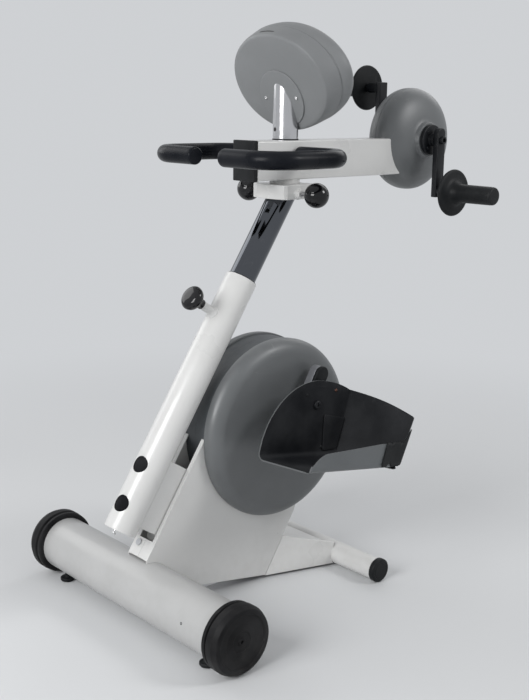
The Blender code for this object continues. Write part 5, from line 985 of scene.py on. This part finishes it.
def make_crank_arms():
    """Leg crank arms: rounded bar under a black face, the shaft's nut and the pedal pin
    with its collar and head."""
    centre, out = place(0.0, CRANK_Y, CRANK_Z), CRANK_IN + CRANK_THICK
    nut = fillets([(0.0, out - 0.001), (0.0105, out - 0.001), (0.0105, out + 0.004, 0.001),
                   (0.0085, out + 0.0045), (0.0050, out + 0.0045), (0.0045, out + 0.0015),
                   (0.0, out + 0.0015)])
    sleeve = fillets([(0.0, 0.0), (SHAFT_RADIUS, 0.0), (SHAFT_RADIUS, CRANK_IN - 0.006),
                      (0.0160, CRANK_IN - 0.006, 0.001), (0.0160, CRANK_IN + 0.0005),
                      (0.0, CRANK_IN + 0.0005)])
    head = SHELL_IN + SHELL_WALL + FIT_GAP
    pin = fillets([(0.0, CRANK_IN + 0.001), (0.006, CRANK_IN + 0.001), (0.006, out + FIT_GAP),
                   (0.011, out + FIT_GAP, 0.0006), (0.011, SHELL_IN - FIT_GAP, 0.0006),
                   (0.006, SHELL_IN - FIT_GAP), (0.006, head), (0.009, head, 0.0004),
                   (0.009, head + 0.004, 0.0015), (0.0042, head + 0.004),
                   (0.0040, head + 0.0018), (0.0, head + 0.0018)], steps=3)
    for side, sign in SIDES:
        ahead = crank_direction(sign)
        for name, half, low, high, edge, material, slot, stands_for in (
                ("crank_bar_", CRANK_WIDTH / 2 - 0.0006, CRANK_IN, out - CRANK_FACE, 0.0012,
                 SATIN_METAL, "satin_metal", ["crank_arm_" + side]),
                ("crank_face_", CRANK_WIDTH / 2, out - CRANK_FACE, out, 0.0025,
                 BLACK_PLASTIC, "black_plastic", [])):
            outline = np.vstack([ring((0.0, 0.0), half, 0, -180, 32),
                                 ring((0.0, CRANK_END_RADIUS), half, 180, 0, 32)])
            bar = slab(name + side, outline, low, high, edge, centre,
                       np.cross(ahead, sign * X_AXIS), ahead, sign * X_AXIS, 5)
            keep(bar, "leg_crank", material, slot, *stands_for)
        keep(lathe("crank_nut_" + side, nut, centre, sign * X_AXIS, 40), "leg_crank", BLACK_PAINT,
             "steel")
        keep(lathe("crank_sleeve_" + side, sleeve, centre, sign * X_AXIS, 48), "leg_crank", STEEL,
             "steel", *(["crank_shaft"] if side == "left" else []))
        keep(lathe("pedal_pin_coat_" + side, pin, foot_frame(sign)[0], sign * X_AXIS, 40),
             "leg_crank", BLACK_PAINT, "steel", "pedal_pin_" + side)


def shell_plan():
    """Plan of the foot shell's wall as (x, e) points from the inner toe round the heel to
    the outer toe, and the inward direction at each."""
    corners = fillets([(SHELL_IN, TOE_IN_E), (SHELL_IN, HEEL_IN_E, HEEL_CORNER),
                       (SHELL_OUT, HEEL_OUT_E, HEEL_CORNER), (SHELL_OUT, TOE_OUT_E)], steps=6)
    plan = np.vstack([np.linspace(corners[0], corners[1], SIDE_POINTS + 1)[:-1], corners[1:7],
                      np.linspace(corners[7], corners[8], HEEL_POINTS + 2), corners[9:15],
                      np.linspace(corners[14], corners[15], SIDE_POINTS + 1)[1:]])
    ahead = unit(np.gradient(plan, axis=0))
    inward = np.stack([ahead[:, 1], -ahead[:, 0]], -1)
    inward[:SIDE_POINTS] = (1.0, 0.0)
    inward[-SIDE_POINTS:] = (-1.0, 0.0)
    return plan, inward


def fan_height(e):
    """Half oval of the inner wall: low + (top - low) sqrt(1 - (e / reach)^2)."""
    reach = np.where(e < 0, -TOE_IN_E, FAN_REAR_REACH) + 0.0005
    return TOE_RIM_H + (FAN_TOP_H - TOE_RIM_H) * np.sqrt(np.maximum(0.0, 1 - (e / reach) ** 2))


def rim_height(x, e):
    """Rim of the shell at plan points: the fan inside, a straight line with a sine bulge
    along the heel, and a low outer wall that sweeps down to the toe and up to the heel."""
    k = (e - TOE_OUT_E) / (STRAP_E - TOE_OUT_E)
    toe = np.maximum(0.0, 1 - k / TOE_SWEEP)
    rise = np.maximum(0.0, 1 - (HEEL_OUT_E - e) / HEEL_DROP)
    outer = (SIDE_FRONT_H + (SIDE_REAR_H - SIDE_FRONT_H) * np.minimum(1.0, k)
             + (TOE_RIM_H - SIDE_FRONT_H) * toe ** 2 + (HEEL_RIM_H - SIDE_REAR_H) * rise)
    across = (x - SHELL_IN) / (SHELL_OUT - SHELL_IN)
    start = fan_height(HEEL_IN_E - HEEL_CORNER / 2)
    heel = start + (HEEL_RIM_H - start) * across + HEEL_BULGE * np.sin(math.pi * across)
    return np.where(x < SHELL_IN + 1e-4, fan_height(e),
                    np.where(x > SHELL_OUT - 1e-4, outer, heel))


def raised(points, heights):
    """Points (x, e, h) of plan points and heights that broadcast with them."""
    return np.stack(np.broadcast_arrays(points[..., 0], points[..., 1], heights), -1)


def shell_sheet(plan, inward):
    """Folded sheet as points (x, e, h), one row down from each plan point: the wall from
    the rim, a quarter-round corner, and the sole as far as the middle between the walls."""
    count = len(plan)
    least = np.full(count, SOLE_H + SOLE_CORNER + 0.002)
    least[[0, -1]] = SOLE_H + 0.006
    top = np.maximum(rim_height(*plan.T), least)[:, None]
    start = np.minimum(SOLE_H + SOLE_CORNER, top - 0.002)
    wall = raised(plan[:, None], top + (start - top) * np.linspace(0.0, 1.0, 10))
    bend = np.linspace(0.0, math.pi / 2, 7)[1:]
    move = SOLE_CORNER * (1 - np.cos(bend))[:, None]
    arc = raised(plan[:, None] + inward[:, None] * move, start + (SOLE_H - start) * np.sin(bend))
    floor, order = plan + inward * SOLE_CORNER, np.arange(count)
    k = np.minimum(np.minimum(order, order[::-1]), SIDE_POINTS)
    middle = (floor[k] + floor[count - 1 - k]) / 2
    share = np.linspace(0.0, 1.0, 6)[1:, None]
    sole = raised(floor[:, None] + (middle - floor)[:, None] * share, SOLE_H)
    return np.concatenate([wall, arc, sole], 1)


def strap_sheet(plan, inward):
    """Heel strap outside the wall, as points (x, e, h): the heights of its edges are
    straight lines with square steps, counted from its open end, and its top follows the
    wall's rise at the outer heel."""
    last = np.argmin(np.abs(plan[:, 1] - STRAP_E) + (plan[:, 0] < SHELL_OUT - 1e-4))
    first = np.argmin(np.abs(plan[:, 0] - (SHELL_IN + STRAP_START)) + (plan[:, 1] < HEEL_IN_E))
    run = plan[first:last + 1] - inward[first:last + 1] * STRAP_OUT
    x, e = run.T
    from_end = np.arange(len(run))[::-1]
    top = STRAP_TOP_H - STRAP_NOTCH * np.isin(from_end % 9, (3, 4))
    low = STRAP_LOW_H + STRAP_STEP * np.isin(from_end % 11, (5, 6, 7))
    rim = rim_height(SHELL_OUT, np.minimum(e, HEEL_OUT_E)) + 0.0005
    rising = (e > HEEL_OUT_E - HEEL_DROP) & (x > SHELL_OUT)
    top = np.where(rising, np.maximum(top, rim), top)
    return raised(run[:, None], np.linspace(top, low, 7, axis=-1))


def on_foot(points, sign):
    """Shell points (x, e, h) in the frame; the heel leans back with height."""
    pin, back, up = foot_frame(sign)
    x, e, h = points[..., :1], points[..., 1:2], points[..., 2:]
    lean = HEEL_RAKE * (h - HEEL_RIM_H) * np.maximum(0.0, e) / HEEL_OUT_E
    return pin + sign * x * X_AXIS + (e + lean) * back + h * up


def make_foot_shells():
    """Foot shells with their heel straps, ankle pads and rivets. On the folded sheet a face
    with material n gets n + 1 inside and n + 2 on its rim, so the rim is dark at the heel."""
    plan, inward = shell_plan()
    sheet, strap_points = shell_sheet(plan, inward), strap_sheet(plan, inward)
    pad = fillets([(0.024, -0.020, 0.004), (0.086, -0.028, 0.004), (0.074, -0.094, 0.006),
                   (0.034, -0.098, 0.006)], closed=True, steps=4)
    rivet = fillets([(0.0, 0.0), (0.0040, 0.0, 0.0003), (0.0034, 0.0011, 0.001),
                     (0.0012, 0.0019, 0.002), (0.0, 0.0019)], steps=4)
    inside = SHELL_IN + SHELL_WALL + 0.0004
    for side, sign in SIDES:
        pin, back, up = foot_frame(sign)
        shell = surface("foot_shell_coat_" + side, on_foot(sheet, sign)[:, ::-sign],
                        wrap_cols=False, outward=False)
        keep(shell, "foot_" + side, SHELL_GREY, "shell_grey", "foot_shell_" + side)
        for material in (LINING, RIM_GREY, SHELL_GREY, LINING, LINING):
            shell.data.materials.append(material)
        middles = np.empty(3 * len(shell.data.polygons))
        shell.data.polygons.foreach_get("center", middles)
        at_heel = (middles.reshape(-1, 3) - pin) @ back > HEEL_IN_E - HEEL_CORNER
        shell.data.polygons.foreach_set("material_index", np.where(at_heel, 3, 0))
        wall = thicken(shell, SHELL_WALL, -1)
        wall.material_offset, wall.material_offset_rim = 1, 2
        round_edges(shell, 0.0007, 2, 50)
        strap = surface("heel_strap_coat_" + side, on_foot(strap_points, sign)[:, ::-sign],
                        wrap_cols=False, outward=False)
        keep(strap, "foot_" + side, BLACK_PLASTIC, "black_plastic", "heel_strap_" + side)
        thicken(strap, STRAP_THICK, 1)
        keep(slab("ankle_pad_" + side, pad, inside, inside + 0.0035, 0.0014, pin, back, up,
                  sign * X_AXIS), "foot_" + side, LINING, "black_plastic")
        for k, (e, h) in enumerate(((0.0516, 0.0298), (-0.032, 0.020), (0.030, SOLE_H + 0.02))):
            at = pin + e * back + h * up + sign * (inside - 0.0006) * X_AXIS
            keep(lathe(f"shell_rivet_{side}_{k}", rivet, at, sign * X_AXIS, 20), "foot_" + side,
                 COPPER_RIVET if k == 0 else BLACK_PLASTIC, "steel")


# Display

def shell_rings(rings, steps=128):
    """Oval rings (half u, half v, d) of the display as points (u cos t, v sin t, d)."""
    half_u, half_v, d = np.asarray(rings, float).T[..., None]
    turn = round_turn(steps)
    return on_display(half_u * np.cos(turn), half_v * np.sin(turn), d)


def make_display_shells():
    """Rear and front shell, each a smooth line of ovals; a groove and a strip part them."""
    keys = [(BACK_U, BACK_V, 0.0006), (BACK_U + 0.007, BACK_V + 0.0028, 0.0026),
            (BACK_U + 0.0100, BACK_V + 0.0042, 0.0070), (BACK_U + 0.0140, BACK_V + 0.0054, 0.0160),
            (SEAM_U, SEAM_V, SEAM_D - 0.001)]
    rear = [(0.0, 0.0, 0.0), (BACK_U - 0.045, BACK_V - 0.037, 0.0),
            (BACK_U - 0.004, BACK_V - 0.004, 0.0), *spline(keys, 6),
            (SEAM_U - 0.0012, SEAM_V - 0.0012, SEAM_D), (SEAM_U - 0.006, SEAM_V - 0.006, SEAM_D)]
    keep(surface("display_back_cover", shell_rings(rear), sharp=30), "display", DISPLAY_GREY_LIT,
         "grey_cover", "display_rear_shell")
    low, high = SEAM_D - 0.0002, SEAM_D + STRIP_D
    strip = fillets([(0.0, low), (STRIP_INSET, low, 0.0003), (STRIP_INSET, high, 0.0003),
                     (0.0, high)], closed=True)
    rings = strip[:, [0, 0, 1]] + (SEAM_U - STRIP_INSET, SEAM_V - STRIP_INSET, 0.0)
    keep(surface("display_seam_strip", shell_rings(rings), wrap_rows=True), "display",
         DISPLAY_GREY_LIT, "grey_cover")
    keys = [(SEAM_U + 0.0004, SEAM_V - 0.0002, high),
            (SEAM_U + 0.0042, SEAM_V + 0.0002, SEAM_D + 0.010), (WIDE_U, WIDE_V, WIDE_D),
            (WIDE_U - 0.0034, WIDE_V - 0.0030, FACE_D - 0.0050),
            (WIDE_U - 0.0100, WIDE_V - 0.0090, FACE_D - 0.0010), (FACE_U, FACE_V, FACE_D)]
    front = [(SEAM_U - 0.006, SEAM_V - 0.006, high), *spline(keys, 6),
             (FACE_U - 0.020, FACE_V - 0.020, FACE_D), (FACE_U - 0.050, FACE_V - 0.045, FACE_D),
             (0.0, 0.0, FACE_D)]
    keep(surface("display_front_cover", shell_rings(front), sharp=30), "display", DISPLAY_GREY_LIT,
         "grey_cover", "display_front_shell")


def make_display_mount():
    """Round mount plate behind the display with its two screws, and a black strip of
    painted shade for the slot in the top of the rear shell, which follows the shell's oval
    v = -V sqrt(1 - (u/U)^2)."""
    plate = fillets([(0.0, -0.001), (MOUNT_RADIUS, -0.001), (MOUNT_RADIUS, MOUNT_THICK, 0.0018),
                     (0.0, MOUNT_THICK)])
    keep(lathe("display_mount_plate", plate, on_display(0.0, MOUNT_V, 0.0), -OUT_OF_FACE, 128),
         "display", DISPLAY_GREY_LIT, "grey_cover")
    for side, sign in SIDES:
        at = on_display(sign * MOUNT_SCREW_U, MOUNT_V - 0.002, -MOUNT_THICK)
        socket_screw("mount_screw_" + side, at, -OUT_OF_FACE, 0.0036, "display", "steel")
    # The slot is a black strip on the shell: painted shade, not a cut.
    u = np.linspace(-SLOT_HALF, SLOT_HALF, 25)
    v = -(BACK_V + 0.0048) * np.sqrt(1 - (u / (BACK_U + 0.012)) ** 2)
    radii = SLOT_RADIUS * np.sqrt(np.maximum(0.02, 1 - (u / SLOT_HALF) ** 4))
    keep(sweep("display_top_slot_painted_shade", on_display(u, v, SLOT_D), radii, 12, OUT_OF_FACE), "display",
         PRINT_AND_SHADE_BLACK, "grey_cover")


def face_slab(name, outline, low, high, edge):
    """Prism on the display's face."""
    return slab(name, outline, low, high, edge, on_display(0, 0, 0), X_AXIS, DOWN_FACE,
                OUT_OF_FACE)


def make_display_face():
    """Screen window in its bezel, three keys in raised rings with plain symbols."""
    outline = rounded_box(SCREEN_U + BEZEL_WIDTH, SCREEN_V + BEZEL_WIDTH, BEZEL_WIDTH,
                          y=SCREEN_MIDDLE)
    keep(face_slab("screen_bezel", outline, FACE_D - 0.001, FACE_D + 0.0012, 0.001), "display",
         BLACK_PLASTIC, "black_plastic")
    outline = rounded_box(SCREEN_U, SCREEN_V, 0.005, y=SCREEN_MIDDLE)
    keep(face_slab("screen_window", outline, FACE_D + 0.0002, FACE_D + 0.0017, 0.0005), "display",
         WINDOW, "screen_glass", "screen")
    top, low = FACE_D + KEY_PROUD, FACE_D - 0.001
    collar = fillets([(KEY_RADIUS + 0.0006, low), (KEY_RADIUS + 0.0006, FACE_D + 0.0010, 0.0004),
                      (KEY_RADIUS + 0.0026, FACE_D + 0.0010, 0.0008),
                      (KEY_RADIUS + 0.0034, low)], closed=True, steps=3)
    cap = fillets([(0.0, low - 0.001), (KEY_RADIUS, low - 0.001), (KEY_RADIUS, top, 0.0012),
                   (KEY_RADIUS * 0.55, top - 0.0004, 0.004), (0.0, top - 0.0005)], steps=5)
    for key, across, material in (("minus", -KEY_PITCH, KEY_GREY), ("start", 0.0, KEY_GREEN),
                                  ("plus", KEY_PITCH, KEY_GREY)):
        at = on_display(across, KEY_V, 0.0)
        keep(lathe("key_ring_" + key, collar, at, OUT_OF_FACE, 48, closed=True), "display",
             BLACK_PLASTIC, "black_plastic")
        keep(lathe("key_cap_" + key, cap, at, OUT_OF_FACE, 56), "key_" + key, material,
             "key_green" if key == "start" else "key_grey", "key_" + key)
        make_symbol(key, across, top)


def make_symbol(key, across, top):
    """Raised print on a key: a bar, two crossed bars or a triangle."""
    low, high = top - 0.0010, top + 0.0002
    bars = {"minus": [MARK_BAR], "plus": [MARK_BAR, MARK_BAR[::-1]], "start": []}
    for k, halves in enumerate(bars[key]):
        bar = face_slab(f"key_mark_{key}_{k}", rounded_box(*halves, 0.0004, across, KEY_V), low,
                        high + 0.00002 * k, 0.0001)
        keep(bar, "key_" + key, PRINT_AND_SHADE_BLACK, "key_grey")
    if key == "start":
        rear, half = across - 0.0022, 0.0032
        outline = fillets([(rear, KEY_V - half, 0.0004), (across + 0.0036, KEY_V, 0.0004),
                           (rear, KEY_V + half, 0.0004)], closed=True, steps=3)
        keep(face_slab("key_mark_start", outline, low, high, 0.0001), "key_start", PRINT,
             "key_green")


def make_stem():
    """Stem cut obliquely by the display's back plane: each side line ends where
    (p - display) . out = -plate. A dark seat ring goes with it, and a black disc of painted
    shade for the set-screw hole."""
    turn = round_turn(112)[:, None]
    circle = STEM_RADIUS * (np.cos(turn) * X_AXIS + np.sin(turn) * Y_AXIS)
    foot, seat_z = place(0.0, SWIVEL_Y, 0.0), BEAM_TOP_Z + FIT_GAP
    reach = (place(*DISPLAY_AT) - foot - circle) @ OUT_OF_FACE - MOUNT_THICK - 0.0002
    top = reach / OUT_OF_FACE[2]
    low = np.full_like(top, seat_z)
    thin = 1 - STEM_WALL / STEM_RADIUS
    rows = [(0.0, low), (1 - 0.0008 / STEM_RADIUS, low), (1.0, low + 0.0008),
            (1.0, (low + top) / 2), (1.0, top), (thin, top), (thin, low + 0.02),
            (0.0, low + 0.02)]
    grid = np.array([foot + share * circle + height[:, None] * Z_AXIS for share, height in rows])
    keep(surface("display_stem_coat", grid), "display", SILVER_PAINT, "white_paint",
         "display_stem")
    seat = fillets([(STEM_RADIUS - 0.001, seat_z), (STEM_RADIUS + 0.0009, seat_z, 0.0003),
                    (STEM_RADIUS + 0.0007, BEAM_TOP_Z + 0.0026, 0.0006),
                    (STEM_RADIUS - 0.001, BEAM_TOP_Z + 0.0028)], closed=True, steps=3)
    keep(lathe("stem_seat_ring", seat, foot, Z_AXIS, closed=True), "display", BLACK_PLASTIC,
         "black_plastic")
    # The set-screw hole is a black disc on the stem: painted shade, not a bore.
    facing = math.cos(SET_SCREW_TURN) * X_AXIS + math.sin(SET_SCREW_TURN) * Y_AXIS
    hole = fillets([(0.0, STEM_RADIUS - 0.002), (0.0042, STEM_RADIUS - 0.002),
                    (0.0042, STEM_RADIUS + 0.0002, 0.0003), (0.0, STEM_RADIUS + 0.0002)], steps=3)
    keep(lathe("stem_set_screw_hole_shade", hole, foot + SET_SCREW_Z * Z_AXIS, facing, 32), "display",
         PRINT_AND_SHADE_BLACK, "black_plastic")


for make in (make_base_tube, make_wheels, make_rear_tube, make_sheet_pieces, make_rear_cover,
             make_column, make_plugs, make_clamp_knob, make_mast, make_head, make_beam,
             make_handles, make_arm_unit, make_disc_covers, make_crank_arms, make_foot_shells,
             make_display_shells, make_display_mount, make_display_face, make_stem):
    make()

# Inner pieces and the inlet, which keep their CAD shapes
for node, material in (("wheel_axle", STEEL), ("base_spine", STEEL), ("crank_bearing", STEEL),
                       ("motor_pulley", STEEL), ("leg_motor", CAST_METAL),
                       ("leg_pulley", CAST_METAL), ("arm_motor", CAST_METAL),
                       ("leg_belt", BELT_RUBBER), ("power_inlet", KEY_GREY)):
    for material_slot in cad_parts[node].material_slots:
        material_slot.material = material


# Room, lamps and camera

def fade_to_background(tree, lit, out, share=1.0):
    """Shows the background's colour instead of a lit shader to camera, mirror and
    transmitted rays, by a share of 0 to 1."""
    pale = add(tree, "ShaderNodeEmission", Color=BACKGROUND)
    path = tree.nodes.new("ShaderNodeLightPath")
    seen = calculate(tree, "MAXIMUM", path.outputs["Is Camera Ray"], path.outputs["Is Glossy Ray"])
    seen = calculate(tree, "MAXIMUM", seen, path.outputs["Is Transmission Ray"])
    mix = tree.nodes.new("ShaderNodeMixShader")
    for index, given in enumerate((times(tree, seen, share), lit.outputs[0], pale.outputs[0])):
        tree.links.new(given, mix.inputs[index])
    tree.links.new(mix.outputs[0], out.inputs["Surface"])


def make_floor():
    """Pale floor disc that keeps the shadow near the object and fades to the background
    with distance."""
    turn = round_turn(96)
    radius = np.array(FLOOR_RADII)[:, None]
    grid = np.stack(np.broadcast_arrays(radius * np.cos(turn), radius * np.sin(turn), FLOOR_Z), -1)
    floor = surface("studio_floor", grid)
    made = bpy.data.materials.new("studio_floor")
    made.use_nodes = True
    tree = made.node_tree
    shader = tree.nodes["Principled BSDF"]
    shader.inputs["Base Color"].default_value = FLOOR_COLOUR
    shader.inputs["Roughness"].default_value = 0.65
    length = add(tree, "ShaderNodeVectorMath", {"operation": "LENGTH"}, Vector=object_place(tree))
    far = spread(tree, length.outputs["Value"], *FLOOR_FADE)
    fade_to_background(tree, shader, tree.nodes["Material Output"], far)
    floor.data.materials.append(made)


def make_world():
    """Soft pale surroundings, the background's colour where a camera or mirror ray meets them."""
    world = bpy.data.worlds.new("studio")
    bpy.context.scene.world = world
    world.use_nodes = True
    tree = world.node_tree
    tree.nodes.clear()
    soft = add(tree, "ShaderNodeBackground", Color=WORLD_COLOUR, Strength=WORLD_LIGHT)
    fade_to_background(tree, soft, tree.nodes.new("ShaderNodeOutputWorld"))


def make_lamp(name, at, watts, size):
    """Square soft lamp that faces the middle of the object."""
    data = bpy.data.lights.new(name, "AREA")
    data.energy = watts
    data.size = size
    lamp = bpy.data.objects.new(name, data)
    lamp.location = at
    lamp.rotation_euler = (Vector(LAMP_AIM) - Vector(at)).to_track_quat("-Z", "Y").to_euler()
    bpy.context.scene.collection.objects.link(lamp)


def make_camera():
    """Camera at the photograph's viewpoint, turned by its azimuth, pitch and roll."""
    azimuth, pitch, roll = CAMERA_AZIMUTH, CAMERA_PITCH, CAMERA_ROLL
    back = Vector((math.sin(azimuth) * math.cos(pitch), -math.cos(azimuth) * math.cos(pitch),
                   math.sin(pitch)))
    level = Vector((math.cos(azimuth), math.sin(azimuth), 0.0))
    right = level * math.cos(roll) + back.cross(level) * math.sin(roll)
    data = bpy.data.cameras.new("photo_view")
    data.lens = CAMERA_LENS
    camera = bpy.data.objects.new("photo_view", data)
    camera.matrix_world = (Matrix.Translation(CAMERA_AT)
                           @ Matrix((right, back.cross(right), back)).transposed().to_4x4())
    bpy.context.scene.collection.objects.link(camera)
    bpy.context.scene.camera = camera


make_floor()
make_world()
for lamp in LAMPS:
    make_lamp(*lamp)
make_camera()
bpy.context.scene.view_settings.view_transform = "Standard"
